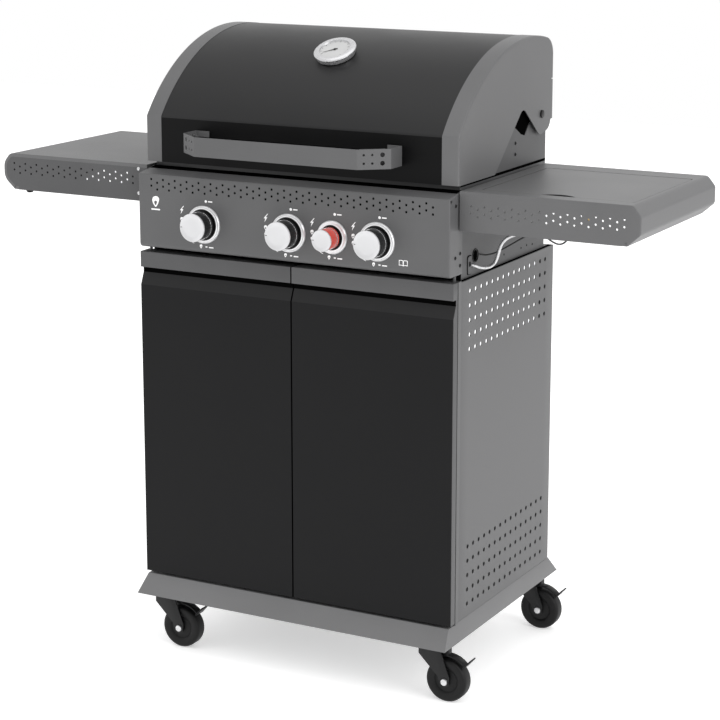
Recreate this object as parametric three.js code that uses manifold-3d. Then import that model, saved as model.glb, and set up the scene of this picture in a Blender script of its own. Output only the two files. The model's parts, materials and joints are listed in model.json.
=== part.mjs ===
// Gas barbecue grill on a wheeled cabinet, three main burners and a side burner.
// Millimetres, +Z up. While modelling, x = 0 is the middle, y = 0 the front edge of
// the cabinet side panels and z = 0 the floor; the finished group is moved so that
// its origin is the middle of its footprint on the floor.
import * as THREE from 'three';
import { mergeVertices } from 'three/addons/utils/BufferGeometryUtils.js';
import Module from 'manifold-3d';

const wasm = await Module();
wasm.setup();

// ---- driving dimensions -------------------------------------------------------
const sheet = 1.2;                 // folded steel sheet
const fit = 0.3;                   // gap between pieces that touch
const turnGap = 0.4;               // gap round a pin that turns in its hole
const cutPast = 20;                // how far a cutting tool runs past the metal

const cabinet = { width: 602.6, depth: 383.5, height: 588, flange: 18 };
const base = { height: 31, flare: 27.5, sideFlare: 6.7, ledge: 16, rim: 0.2 };
const caster = {
  height: 100, wheelDiameter: 75, wheelWidth: 26, trail: 30, axleDiameter: 8,
  headDiameter: 40, insetX: 42, insetY: 41, sides: 24, cheek: 2.5, brakeGap: 5,
  crownHalf: 19, plateGap: 3, shoulder: 6, tread: 4, leverRun: 12, leverHalf: 8, pedalHalf: 11,
};
const door = {
  depth: 30, overhang: 3.6, centreGap: 2.4, floorGap: 4.7, panelGap: 4.5, hingeInset: 9,
  pinDiameter: 5, skin: 1.2, frontDrop: 55.3, bevelRun: 9, bevelRise: 21,
  recess: 10.2, topStrip: 28, slotHalf: 20, slotNear: 6, slotFar: 12, skinEdge: 1,
};
const rearPanel = { height: 300 };
const rail = { height: 29, width: 23 };
const panel = {
  sideInset: 0.7, height: 129.9, depth: 41.7, aboveCabinet: 13.3, shoulder: 8.3,
  bend: 8, rear: 6, stemRoom: 5,
};
const knob = {
  mainDiameter: 50, sideDiameter: 38, protrusion: 40.3, depth: 32.6, push: 3.5,
  stemDiameter: 8, gripDepth: 12, height: 50.2, pitch: 168,
};
const manifold = {
  pipeDiameter: 16, pipeEnd: 67, valveWidth: 26, valveHeight: 28, frontGap: 11, rearGap: 5,
};
const firebox = {
  sideGap: 6.3, rearGap: 31.5, setback: 8, frontWall: 170, sideRise: 217, valleyWidth: 120,
  bottomRise: 45, lift: 3, ledge: 9, drain: 80, drainDepth: 60, neck: 17, neckRise: 6,
  stepTop: 222, stepFoot: 122, portRadius: 13, portSetback: 68, portLift: 20.5,
};
const burner = { diameter: 24, height: 81, wall: 1.2, rearGap: 24, tabHalf: 7 };
const tamer = { width: 96, rise: 22, lift: 118 };
const grate = { lift: 146, bar: 8, thick: 10, pitch: 24 };
const rack = { depth: 100, lift: 266, rod: 5, bars: 7, rearGap: 36, legInset: 8 };
const tray = {
  width: 250, depth: 300, height: 24, drop: 62, lip: 8, rearGap: 30, pull: 16, pullHalf: 45,
};
const shelf = {
  reach: 314.3, depth: 348, setback: -11, belowShoulder: 2.2, skirt: 65.6, noseRise: 17,
  noseRun: 14, tuckRun: 22.5, tuckRise: 19.8, gap: 2, passageFrom: 50, passageTo: 230,
  passageRise: 40,
};
const sideBurner = {
  lidWidth: 262, lidDepth: 264, fromInner: 27, fromFront: 31, bowlDepth: 28,
  flange: 7, rest: 14, headDiameter: 80, headHeight: 13, neckDiameter: 22, neckDrop: 32,
  slack: 0.8, armHalf: 4, armDrop: 3, ringGap: 6, scoopRadius: 40, scoopOffset: 26,
};
const lid = {
  overhang: 0.7, front: -12, band: 80, lift: 9.7, radius: 354, crestSetback: 282,
  rearOverhang: -17.5, rearFillet: 32, rearRise: 50.7, capWidth: 31, pivotFromRear: 66.5,
  pivotHeight: 91, footRadius: 25, footInset: 16, notchStart: 127, notchPeak: 93.7,
  notchAt: 239, notchRound: 8, slotLift: 140, slotEdge: 5.5, pinRadius: 4, pinHead: 7,
};
const handle = {
  fromEnd: 102.5, wingRun: 43.8, reach: 76, wingReach: 40.5, height: 33, thick: 10,
  footLength: 27, drop: 53.5,
};
const dial = { diameter: 75, height: 14, stem: 8, stemDepth: 32, atSetback: 139 };
const hose = { diameter: 6, sides: 10 };
const wire = { diameter: 3, sides: 8 };

// ---- derived levels -------------------------------------------------------------
const baseBottom = caster.height;
const baseTop = baseBottom + base.height;
const cabinetTop = baseTop + cabinet.height;
const halfCabinet = cabinet.width / 2;
const doorRear = -door.panelGap;
const doorFront = doorRear - door.depth;
const panelBottom = cabinetTop + panel.aboveCabinet;
const panelTop = panelBottom + panel.height;
const panelRear = panel.rear;
const shoulderTop = panelTop + panel.shoulder;
const fireBottom = cabinetTop + fit;
const fireRear = cabinet.depth - firebox.rearGap;
const fireDepth = fireRear - firebox.setback;
const lidBottom = shoulderTop + lid.lift;
const lidRear = cabinet.depth + lid.rearOverhang;
const lidHalf = halfCabinet + lid.overhang;
const pivot = { y: cabinet.depth - lid.pivotFromRear, z: shoulderTop + lid.pivotHeight };
const shelfTop = shoulderTop + shelf.belowShoulder;
const knobZ = panelBottom + knob.height;
const knobX = [-knob.pitch, 0, knob.pitch / 2, knob.pitch];
const halfShelfInner = halfCabinet + shelf.gap;

// ---- materials -----------------------------------------------------------------
const finish = (color, roughness, metalness) =>
  new THREE.MeshStandardMaterial({ color, roughness, metalness });
const greyPaint = finish(0x6b6b6c, 0.5, 0.35);
const blackPaint = finish(0x242425, 0.42, 0.3);
const lidPaint = finish(0x3c3c3d, 0.45, 0.35);
const castIron = finish(0x1d1d1e, 0.75, 0.4);
const stainless = finish(0xb9bab8, 0.3, 0.95);
const chrome = finish(0xdadada, 0.18, 1);
const blackPlastic = finish(0x1b1b1c, 0.55, 0);
const redPlastic = finish(0xc94b40, 0.5, 0);
const brass = finish(0xb4924e, 0.35, 0.9);
const rubberHose = finish(0xa9aaab, 0.4, 0.5);

// ---- solid helpers ---------------------------------------------------------------
const solid = (geometry) => {
  const clean = geometry.clone();
  clean.deleteAttribute('normal');
  clean.deleteAttribute('uv');
  const merged = mergeVertices(clean, 1e-4);
  const mesh = new wasm.Mesh({
    numProp: 3,
    vertProperties: Float32Array.from(merged.attributes.position.array),
    triVerts: Uint32Array.from(merged.index.array),
  });
  return new wasm.Manifold(mesh);
};

const join = (...pieces) => pieces.reduce((all, piece) => all.add(piece));
const cut = (body, ...tools) => tools.reduce((left, tool) => left.subtract(tool), body);

const box = (x0, x1, y0, y1, z0, z1) => {
  const geometry = new THREE.BoxGeometry(x1 - x0, y1 - y0, z1 - z0);
  geometry.translate((x0 + x1) / 2, (y0 + y1) / 2, (z0 + z1) / 2);
  return solid(geometry);
};

const outline = (points) => new THREE.Shape(points.map(([a, b]) => new THREE.Vector2(a, b)));
const flatExtrude = (points, depth) =>
  new THREE.ExtrudeGeometry(outline(points), { depth, bevelEnabled: false });

// An outline of [y, z] points carried along X.
const prismX = (points, x0, x1) => {
  const geometry = flatExtrude(points, x1 - x0);
  const turn = new THREE.Matrix4().makeBasis(
    new THREE.Vector3(0, 1, 0), new THREE.Vector3(0, 0, 1), new THREE.Vector3(1, 0, 0));
  geometry.applyMatrix4(turn);
  geometry.translate(x0, 0, 0);
  return solid(geometry);
};

// An outline of [x, z] points carried along Y.
const prismY = (points, y0, y1) => {
  const geometry = flatExtrude(points, y1 - y0);
  geometry.rotateX(Math.PI / 2);
  geometry.translate(0, y1, 0);
  return solid(geometry);
};

// An outline of [x, y] points carried along Z.
const prismZ = (points, z0, z1) => {
  const geometry = flatExtrude(points, z1 - z0);
  geometry.translate(0, 0, z0);
  return solid(geometry);
};

const rod = (axis, radius, from, to, a, b, sides = 16) => {
  const geometry = new THREE.CylinderGeometry(radius, radius, to - from, sides);
  geometry.rotateY(Math.PI / sides);
  const middle = (from + to) / 2;
  if (axis === 'x') {
    geometry.rotateZ(-Math.PI / 2);
    geometry.translate(middle, a, b);
  } else if (axis === 'y') {
    geometry.translate(a, middle, b);
  } else {
    geometry.rotateX(Math.PI / 2);
    geometry.translate(a, b, middle);
  }
  return solid(geometry);
};

const arc = (cy, cz, radius, fromAngle, toAngle, steps) =>
  Array.from({ length: steps + 1 }, (_, i) => {
    const angle = fromAngle + ((toAngle - fromAngle) * i) / steps;
    return [cy + radius * Math.cos(angle), cz + radius * Math.sin(angle)];
  });

// The same open path moved sideways: to its left for a positive distance.
const offset = (path, distance) => path.map((point, i) => {
  const before = path[Math.max(i - 1, 0)];
  const after = path[Math.min(i + 1, path.length - 1)];
  const normals = [[before, point], [point, after]]
    .map(([p, q]) => [p[1] - q[1], q[0] - p[0]])
    .filter(([a, b]) => Math.hypot(a, b) > 1e-9)
    .map(([a, b]) => [a / Math.hypot(a, b), b / Math.hypot(a, b)]);
  const sum = [0, 1].map((k) => normals.reduce((total, n) => total + n[k], 0) / normals.length);
  const scale = distance / (sum[0] ** 2 + sum[1] ** 2);
  return [point[0] + sum[0] * scale, point[1] + sum[1] * scale];
});
const strip = (path, thickness) => [...path, ...offset(path, thickness).reverse()];

const tubeAlong = (points, diameter, sides, steps) => {
  const curve = new THREE.CatmullRomCurve3(points.map((p) => new THREE.Vector3(...p)));
  const ring = Array.from({ length: sides }, (_, i) => {
    const angle = (2 * Math.PI * i) / sides;
    return [(diameter / 2) * Math.cos(angle), (diameter / 2) * Math.sin(angle)];
  });
  return solid(new THREE.ExtrudeGeometry(outline(ring), {
    steps, extrudePath: curve, bevelEnabled: false,
  }));
};

const grill = new THREE.Group();
const addPart = (name, body, material) => {
  const { vertProperties, triVerts } = body.getMesh();
  const indexed = new THREE.BufferGeometry();
  indexed.setAttribute('position', new THREE.BufferAttribute(vertProperties.slice(), 3));
  indexed.setIndex(new THREE.BufferAttribute(triVerts.slice(), 1));
  const geometry = indexed.toNonIndexed();
  geometry.computeVertexNormals();
  const mesh = new THREE.Mesh(geometry, material);
  mesh.name = name;
  grill.add(mesh);
};
const sides = [['left', -1], ['right', 1]];
const mirrored = (points, side) => points.map(([x, other]) => [x * side, other]);
const spanX = (side, a, b) => (side > 0 ? [a, b] : [-b, -a]);

// ---- base pan: shallow tray with skirts that lean outwards ------------------------------
const baseOuter = {
  top: { x: halfCabinet + base.rim, y0: doorFront, y1: cabinet.depth },
  bottom: {
    x: halfCabinet + base.sideFlare, y0: doorFront - base.flare,
    y1: cabinet.depth + base.flare,
  },
};

const frustum = (bottom, top, z0, z1) => {
  const geometry = new THREE.BoxGeometry(2, 2, 2);
  const position = geometry.attributes.position;
  for (let i = 0; i < position.count; i += 1) {
    const level = position.getZ(i) > 0 ? top : bottom;
    position.setXYZ(
      i,
      position.getX(i) * level.x,
      position.getY(i) > 0 ? level.y1 : level.y0,
      position.getZ(i) > 0 ? z1 : z0);
  }
  return solid(geometry);
};
const inset = (level, by) => ({ x: level.x - by, y0: level.y0 + by, y1: level.y1 - by });

const hingeX = halfCabinet + door.overhang - door.hingeInset;
const hingeY = doorRear - door.hingeInset + 0.5;
const pinHole = (side, z0, z1) =>
  rod('z', door.pinDiameter / 2 + turnGap, z0, z1, side * hingeX, hingeY);

const makeBasePan = () => {
  const outer = frustum(baseOuter.bottom, baseOuter.top, baseBottom, baseTop);
  const inner = frustum(inset(baseOuter.bottom, sheet + 1), inset(baseOuter.top, sheet),
    baseBottom + sheet, baseTop - sheet);
  const well = box(
    base.ledge - baseOuter.top.x, baseOuter.top.x - base.ledge,
    doorRear, cabinet.depth - base.ledge,
    baseTop - 2 * sheet, baseTop + cutPast);
  const holes = sides.map(([, side]) => pinHole(side, baseTop - 2 * sheet, baseTop + sheet));
  return cut(outer, inner, well, ...holes);
};
addPart('base_pan', makeBasePan(), greyPaint);

// ---- cabinet ---------------------------------------------------------------------------
const panelInner = halfCabinet - sheet;

for (const [label, side] of sides) {
  const path = [
    [halfCabinet - cabinet.flange, 0], [halfCabinet, 0],
    [halfCabinet, cabinet.depth], [halfCabinet - cabinet.flange, cabinet.depth],
  ];
  const section = mirrored(strip(path, sheet), side);
  addPart(`side_panel_${label}`, prismZ(section, baseTop + fit, cabinetTop), greyPaint);
}

const backY = cabinet.depth - sheet - fit;
const rearWidth = panelInner - fit;
addPart('rear_panel',
  box(-rearWidth, rearWidth, backY - sheet, backY, baseTop + fit, baseTop + rearPanel.height),
  greyPaint);

const railBottom = cabinetTop - rail.height;
const frontRailY = sheet + fit;
addPart('rail_front', join(
  box(-rearWidth, rearWidth, frontRailY, frontRailY + sheet, railBottom, cabinetTop),
  box(-rearWidth, rearWidth, frontRailY, frontRailY + rail.width,
    cabinetTop - sheet, cabinetTop)), blackPaint);

// The rear rail also carries the two runners that the grease tray slides on.
const trayTop = cabinetTop - tray.drop + tray.height;
const trayHalf = tray.width / 2;
const runners = sides.map(([, side]) => {
  const section = strip([
    [trayHalf + tray.lip + 2, cabinetTop], [trayHalf + tray.lip + 2, trayTop - sheet - fit - sheet],
    [trayHalf + 2, trayTop - sheet - fit - sheet],
  ], -sheet);
  return prismY(mirrored(section, side), rail.width + 10, backY);
});
addPart('rail_rear', join(
  box(-rearWidth, rearWidth, backY - sheet, backY, railBottom, cabinetTop),
  box(-rearWidth, rearWidth, backY - rail.width, backY,
    cabinetTop - sheet, cabinetTop),
  ...runners), greyPaint);

// ---- doors: hollow folded frame with a finger recess, and a black front skin ---------------
const doorBottom = baseTop + door.floorGap;
const frontTop = cabinetTop - door.frontDrop;
const recessFloor = doorFront + door.bevelRun;
const bevelTop = frontTop + door.bevelRise;
const stripBottom = bevelTop + door.recess;
const doorTop = stripBottom + door.topStrip;
const doorOuter = halfCabinet + door.overhang;

const frameSection = (back, grow) => {
  const front = doorFront + door.skin + fit;
  return [
    [front + grow, doorBottom + grow],
    [front + grow, frontTop - grow / 2],
    [recessFloor + door.skin + fit + grow, bevelTop - grow / 2],
    [recessFloor + door.skin + fit + grow, stripBottom + grow],
    [doorFront + grow, stripBottom + grow],
    [doorFront + grow, doorTop - grow],
    [back - grow, doorTop - grow],
    [back - grow, doorBottom + grow],
  ];
};

for (const [label, side] of sides) {
  const [x0, x1] = spanX(side, door.centreGap / 2, doorOuter);
  const shell = prismX(frameSection(doorRear, 0), x0, x1);
  const hollow = prismX(frameSection(doorRear, sheet), x0 + sheet, x1 - sheet);
  const middle = (x0 + x1) / 2;
  const slot = box(middle - door.slotHalf, middle + door.slotHalf,
    doorRear - door.slotFar, doorRear - door.slotNear,
    doorBottom - cutPast, doorBottom + 2 * sheet);
  const pins = [
    [doorBottom - door.floorGap - sheet, doorBottom + sheet / 2],
    [doorTop - sheet / 2, panelBottom + 2 * sheet],
  ].map(([z0, z1]) => rod('z', door.pinDiameter / 2, z0, z1, side * hingeX, hingeY));
  addPart(`door_frame_${label}`, join(cut(shell, hollow, slot), ...pins), greyPaint);
  const skinPath = [
    [doorFront, doorBottom], [doorFront, frontTop], [recessFloor, bevelTop],
  ];
  const skinSection = strip(skinPath, -door.skin);
  addPart(`door_panel_${label}`,
    prismX(skinSection, x0 + door.skinEdge, x1 - door.skinEdge), blackPaint);
}

// ---- control panel -------------------------------------------------------------------
const panelFront = -panel.depth;
const stemHole = knob.stemDiameter / 2 + panel.stemRoom;
const knobBore = knob.stemDiameter / 2 + turnGap;
const panelPath = [
  [panelRear, panelBottom],
  ...arc(panelFront + panel.bend, panelBottom + panel.bend, panel.bend,
    -Math.PI / 2, -Math.PI, 3),
  [panelFront, panelTop],
  [panelRear, shoulderTop],
];

const makeControlPanel = () => {
  const half = halfCabinet - panel.sideInset;
  const inner = offset(panelPath, -sheet);
  const innerFloor = panelBottom + sheet;
  const innerTop = inner[inner.length - 1][1];
  const openBack = [
    [panelRear + cutPast, innerFloor], ...inner.slice(1, -1),
    [panelRear, innerTop], [panelRear + cutPast, innerTop],
  ];
  const stems = knobX.map((x) =>
    rod('y', stemHole, panelFront - cutPast, panelFront + 2 * sheet, x, knobZ));
  const pins = sides.map(([, side]) =>
    pinHole(side, panelBottom - sheet, panelBottom + 2 * sheet));
  return cut(prismX(panelPath, -half, half),
    prismX(openBack, sheet - half, half - sheet), ...stems, ...pins);
};
addPart('control_panel', makeControlPanel(), greyPaint);

// ---- gas manifold with its valve bodies, stems and knobs -------------------------------
const valveFront = panelFront + manifold.frontGap;
const valveRear = panelRear - manifold.rearGap;
const manifoldZ = knobZ - manifold.valveHeight / 2 - manifold.pipeDiameter / 2;
const stemFront = panelFront - knob.protrusion + knob.gripDepth;
const stemRear = valveFront + 5;
const pipeHalf = knob.pitch + manifold.pipeEnd;

const makeManifold = () => {
  const pipe = rod('x', manifold.pipeDiameter / 2, -pipeHalf, pipeHalf,
    (valveFront + valveRear) / 2, manifoldZ);
  const valves = knobX.map((x) => box(
    x - manifold.valveWidth / 2, x + manifold.valveWidth / 2, valveFront, valveRear,
    manifoldZ, knobZ + manifold.valveHeight / 2));
  const bores = knobX.map((x) => rod('y', knobBore,
    valveFront - cutPast, stemRear + knob.push + 1, x, knobZ));
  return cut(join(pipe, ...valves), ...bores);
};
addPart('gas_manifold', makeManifold(), stainless);

const turned = (profile, segments) =>
  new THREE.LatheGeometry(profile.map(([r, h]) => new THREE.Vector2(r, h)), segments);

knobX.forEach((x, index) => {
  const isSide = x === knobX[2];
  const radius = (isSide ? knob.sideDiameter : knob.mainDiameter) / 2;
  const rear = panelFront - knob.protrusion + knob.depth;
  const front = panelFront - knob.protrusion;
  const boreFront = stemFront - fit;
  const number = index + 1;
  addPart(`valve_stem_${number}`,
    rod('y', knob.stemDiameter / 2, stemFront, stemRear, x, knobZ), stainless);
  const profile = [
    [0, 0], [radius - 2, 0], [radius, 2.5], [radius, knob.depth - 1], [radius - 1, knob.depth],
    [0, knob.depth],
  ];
  const geometry = turned(profile, 24);
  geometry.translate(x, front, knobZ);
  addPart(`knob_${number}`,
    cut(solid(geometry), rod('y', knobBore, boreFront, rear + cutPast, x, knobZ)),
    isSide ? redPlastic : chrome);
});

// ---- firebox: dark trough between two painted side plates that carry the lid ---------------
const fireHalf = halfCabinet - firebox.sideGap;
const wallTop = fireBottom + firebox.frontWall;
const plateTop = fireBottom + firebox.sideRise;

for (const [label, side] of sides) {
  const y0 = firebox.setback;
  const y1 = fireRear;
  const { neck } = firebox;
  const shape = [
    [y0, fireBottom], [y1, fireBottom], [y1, plateTop],
    [pivot.y + neck, plateTop + firebox.neckRise],
    ...arc(pivot.y, pivot.z, neck, 0, Math.PI / 2, 5), [firebox.stepTop, pivot.z + neck],
    [firebox.stepFoot, wallTop], [y0, wallTop],
  ];
  const plate = prismX(shape, ...spanX(side, fireHalf - sheet, fireHalf));
  const through = spanX(side, fireHalf - cutPast, fireHalf + cutPast);
  const pinBore = rod('x', lid.pinRadius + turnGap, ...through, pivot.y, pivot.z);
  const port = rod('x', firebox.portRadius, ...through, firebox.portSetback,
    panelBottom + firebox.portLift);
  addPart(`firebox_side_${label}`, cut(plate, pinBore, port), greyPaint);
}

const burnerZ = fireBottom + burner.height;
const burnerX = knobX.filter((x) => x !== knobX[2]);
const tamerZ = fireBottom + tamer.lift;
const grateZ = fireBottom + grate.lift;

const makeFirebox = () => {
  const half = fireHalf - sheet - fit;
  const valley = firebox.valleyWidth / 2;
  const floorZ = fireBottom + firebox.lift;
  const y0 = firebox.setback;
  const path = [
    [-half, wallTop], [-half, floorZ + firebox.bottomRise], [-valley, floorZ],
    [valley, floorZ], [half, floorZ + firebox.bottomRise], [half, wallTop],
  ];
  const trough = prismY(strip(path, sheet), y0, fireRear);
  const endWalls = [[y0, y0 + sheet], [fireRear - sheet, fireRear]].map(([a, b]) =>
    prismY(path, a, b));
  const ledges = [tamerZ, grateZ].flatMap((z) => [
    box(-half, half, y0, y0 + firebox.ledge, z - 2 * sheet, z),
    box(-half, half, fireRear - firebox.ledge, fireRear, z - 2 * sheet, z),
  ]);
  const middle = y0 + fireDepth / 2;
  const drain = box(-firebox.drain / 2, firebox.drain / 2, middle - firebox.drainDepth / 2,
    middle + firebox.drainDepth / 2, floorZ - cutPast, floorZ + cutPast);
  const ports = burnerX.map((x) => rod('y', burner.diameter / 2 + 2,
    y0 - cutPast, y0 + firebox.ledge / 2, x, burnerZ));
  return cut(join(trough, ...endWalls, ...ledges), drain, ...ports);
};
addPart('firebox', makeFirebox(), castIron);

burnerX.forEach((x, index) => {
  const front = panelRear + 3;
  const rear = fireRear - burner.rearGap;
  const radius = burner.diameter / 2;
  const pipe = cut(
    rod('y', radius, front, rear, x, burnerZ),
    rod('y', radius - burner.wall, front - cutPast, rear - 4, x, burnerZ));
  const tab = box(x - burner.tabHalf, x + burner.tabHalf, rear - 2, fireRear - sheet - fit,
    burnerZ - 1, burnerZ + 1);
  addPart(`burner_${index + 1}`, join(pipe, tab), stainless);
  const halfTamer = tamer.width / 2;
  const ridge = [
    [x - halfTamer, tamerZ + fit], [x, tamerZ + fit + tamer.rise], [x + halfTamer, tamerZ + fit],
  ];
  addPart(`flame_tamer_${index + 1}`,
    prismY(strip(ridge, sheet), firebox.setback + sheet + fit, fireRear - sheet - fit),
    stainless);
});

for (const [label, side] of sides) {
  const inner = 1;
  const outer = fireHalf - 2 * sheet - 3;
  const y0 = firebox.setback + sheet + 2;
  const y1 = fireRear - sheet - 2;
  const z0 = grateZ + fit;
  const z1 = z0 + grate.thick;
  const pieces = [
    box(...spanX(side, inner, outer), y0, y0 + grate.bar, z0, z1),
    box(...spanX(side, inner, outer), y1 - grate.bar, y1, z0, z1),
  ];
  const count = Math.round((outer - inner - grate.bar) / grate.pitch);
  const step = (outer - inner - grate.bar) / count;
  for (let i = 0; i <= count; i += 1) {
    const x = inner + i * step;
    pieces.push(box(...spanX(side, x, x + grate.bar), y0, y1, z0, z1));
  }
  addPart(`cooking_grate_${label}`, join(...pieces), castIron);
}

const makeRack = () => {
  const half = fireHalf - 2 * sheet - 6;
  const y1 = fireRear - rack.rearGap;
  const y0 = y1 - rack.depth;
  const z0 = fireBottom + rack.lift;
  const z1 = z0 + rack.rod;
  const pieces = Array.from({ length: rack.bars }, (_, i) => {
    const y = y0 + ((rack.depth - rack.rod) * i) / (rack.bars - 1);
    return box(-half, half, y, y + rack.rod, z0, z1);
  });
  for (const x of [-half, -half / 3, half / 3, half - rack.rod]) {
    pieces.push(box(x, x + rack.rod, y0, y1, z0 - rack.rod, z0 + 1));
  }
  for (const [, side] of sides) {
    for (const y of [y0 + rack.legInset, y1 - rack.legInset - rack.rod]) {
      pieces.push(box(...spanX(side, half - rack.rod, half), y, y + rack.rod,
        wallTop + fit, z0 + 1));
      pieces.push(box(...spanX(side, half - rack.rod, fireHalf - sheet - 1), y, y + rack.rod,
        wallTop + fit, wallTop + fit + rack.rod));
    }
  }
  return join(...pieces);
};
addPart('warming_rack', makeRack(), stainless);

// The grease tray hangs by its lips under the drain and pulls out to the rear.
const trayZ = cabinetTop - tray.drop;
const trayY0 = cabinet.depth - tray.depth - tray.rearGap;
addPart('grease_tray', (() => {
  const y1 = trayY0 + tray.depth;
  const outer = box(-trayHalf, trayHalf, trayY0, y1, trayZ, trayTop);
  const inner = box(sheet - trayHalf, trayHalf - sheet, trayY0 + sheet, y1 - sheet,
    trayZ + sheet, trayTop + cutPast);
  const lips = box(-trayHalf - tray.lip, trayHalf + tray.lip, trayY0, y1,
    trayTop - sheet, trayTop);
  const pull = box(-tray.pullHalf, tray.pullHalf, y1 - sheet, y1 + tray.pull,
    trayTop - sheet, trayTop);
  return cut(join(outer, lips, pull), inner);
})(), stainless);

// ---- side shelves and side burner ----------------------------------------------------------
const shelfY1 = shelf.setback + shelf.depth;
const shelfOuter = halfCabinet + shelf.reach;
const skirtBottom = shelfTop - shelf.skirt;
const shelfPath = [
  [halfShelfInner, shelfTop],
  [shelfOuter - shelf.noseRun, shelfTop],
  [shelfOuter, shelfTop - shelf.noseRise],
  [shelfOuter, skirtBottom + shelf.tuckRise],
  [shelfOuter - shelf.tuckRun, skirtBottom],
];
const burnerLid = {
  x0: halfShelfInner + sideBurner.fromInner,
  x1: halfShelfInner + sideBurner.fromInner + sideBurner.lidWidth,
  y0: shelf.setback + sideBurner.fromFront,
  y1: shelf.setback + sideBurner.fromFront + sideBurner.lidDepth,
};

for (const [label, side] of sides) {
  const outerSection = [...shelfPath, [halfShelfInner, skirtBottom]];
  const innerPath = offset(shelfPath, -sheet).slice(1);
  const last = innerPath[innerPath.length - 1];
  const innerSection = [
    ...innerPath, [last[0], last[1] - cutPast],
    [halfShelfInner + sheet, last[1] - cutPast],
    [halfShelfInner + sheet, innerPath[0][1]],
  ];
  const body = prismY(mirrored(outerSection, side), shelf.setback, shelfY1);
  const hollow = prismY(mirrored(innerSection, side), shelf.setback + sheet, shelfY1 - sheet);
  let piece = cut(body, hollow);
  if (side > 0) {
    piece = cut(piece, box(
      burnerLid.x0 - sideBurner.slack, burnerLid.x1 + sideBurner.slack,
      burnerLid.y0 - sideBurner.slack, burnerLid.y1 + sideBurner.slack,
      shelfTop - 2 * sheet, shelfTop + cutPast));
  }
  const passage = box(...spanX(side, halfShelfInner - cutPast, halfShelfInner + 2 * sheet),
    shelf.passageFrom, shelf.passageTo, skirtBottom - cutPast,
    skirtBottom + shelf.passageRise);
  addPart(`${label}_shelf`, cut(piece, passage), greyPaint);
}

const flangeTop = shelfTop - sheet - fit;
addPart('side_burner_lid', (() => {
  const plate = box(burnerLid.x0, burnerLid.x1, burnerLid.y0, burnerLid.y1,
    shelfTop - sheet, shelfTop);
  const scoop = rod('z', sideBurner.scoopRadius, shelfTop - cutPast, shelfTop + cutPast,
    (burnerLid.x0 + burnerLid.x1) / 2, burnerLid.y0 - sideBurner.scoopOffset, 48);
  return cut(plate, scoop);
})(), greyPaint);

const bowl = {
  x0: burnerLid.x0 + sideBurner.flange, x1: burnerLid.x1 - sideBurner.flange,
  y0: burnerLid.y0 + sideBurner.flange, y1: burnerLid.y1 - sideBurner.flange,
  z0: flangeTop - sideBurner.bowlDepth,
};
const ringX = (bowl.x0 + bowl.x1) / 2;
const ringY = (bowl.y0 + bowl.y1) / 2;
addPart('side_burner_bowl', (() => {
  const { rest } = sideBurner;
  const flange = box(bowl.x0 - rest, bowl.x1 + rest, bowl.y0 - rest, bowl.y1 + rest,
    flangeTop - sheet, flangeTop - fit);
  const pot = box(bowl.x0, bowl.x1, bowl.y0, bowl.y1, bowl.z0, flangeTop - fit);
  const hollow = box(bowl.x0 + sheet, bowl.x1 - sheet, bowl.y0 + sheet, bowl.y1 - sheet,
    bowl.z0 + sheet, flangeTop + cutPast);
  const neckHole = rod('z', sideBurner.neckDiameter / 2 + 2, bowl.z0 - sheet,
    bowl.z0 + 2 * sheet, ringX, ringY);
  return cut(join(flange, pot), hollow, neckHole);
})(), castIron);

const headBottom = bowl.z0 + sheet + fit;
const neckBottom = bowl.z0 - sideBurner.neckDrop;
addPart('side_burner_head', join(
  rod('z', sideBurner.headDiameter / 2, headBottom, headBottom + sideBurner.headHeight,
    ringX, ringY, 24),
  rod('z', sideBurner.neckDiameter / 2, neckBottom, headBottom + 2, ringX, ringY)), brass);

addPart('side_burner_trivet', (() => {
  const z0 = headBottom;
  const z1 = flangeTop - sideBurner.armDrop;
  const arm = sideBurner.armHalf;
  const reachX = (bowl.x1 - bowl.x0) / 2 - sheet - fit;
  const reachY = (bowl.y1 - bowl.y0) / 2 - sheet - fit;
  const clear = sideBurner.headDiameter / 2 + sideBurner.ringGap;
  const arms = join(
    box(ringX - reachX, ringX + reachX, ringY - arm, ringY + arm, z0, z1),
    box(ringX - arm, ringX + arm, ringY - reachY, ringY + reachY, z0, z1));
  const room = rod('z', clear, z0 - cutPast, z0 + sideBurner.headHeight + 4, ringX, ringY, 24);
  return cut(arms, room);
})(), castIron);

// ---- side burner hose and ignition wire, held at both ends -------------------------------
// Each route leaves the firebox side at a port and ends under the side burner. A point is
// [share of the way across, y, share of the climb], so a route stretches with its ends.
const plateFace = fireHalf + fit;
const portZ = panelBottom + firebox.portLift;
const crossing = ringX - plateFace;
const climb = neckBottom - portZ;
const stretched = (route) => route.map(([share, y, rise]) =>
  [plateFace + share * crossing, y, portZ + rise * climb]);
const hoseRoute = stretched([
  [0.0036, 50, -0.221], [0.0223, 50.6, -0.227], [0.0464, 53.5, -0.255], [0.0705, 61, -0.306],
  [0.0946, 71, -0.340], [0.1187, 82, -0.340], [0.1398, 91, -0.271], [0.1548, 96, -0.152],
  [0.1699, 97, 0.004], [0.1910, 95, 0.176], [0.2211, 93, 0.331], [0.2633, 93, 0.468],
  [0.3235, 96, 0.572], [0.4018, 102, 0.641], [0.4922, 111, 0.674], [0.5825, 121, 0.691],
  [0.6729, 131, 0.726], [0.7512, 138, 0.795], [0.8114, 142.5, 0.881],
]);
addPart('side_burner_hose', tubeAlong(hoseRoute, hose.diameter, hose.sides, 44), rubberHose);

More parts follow.
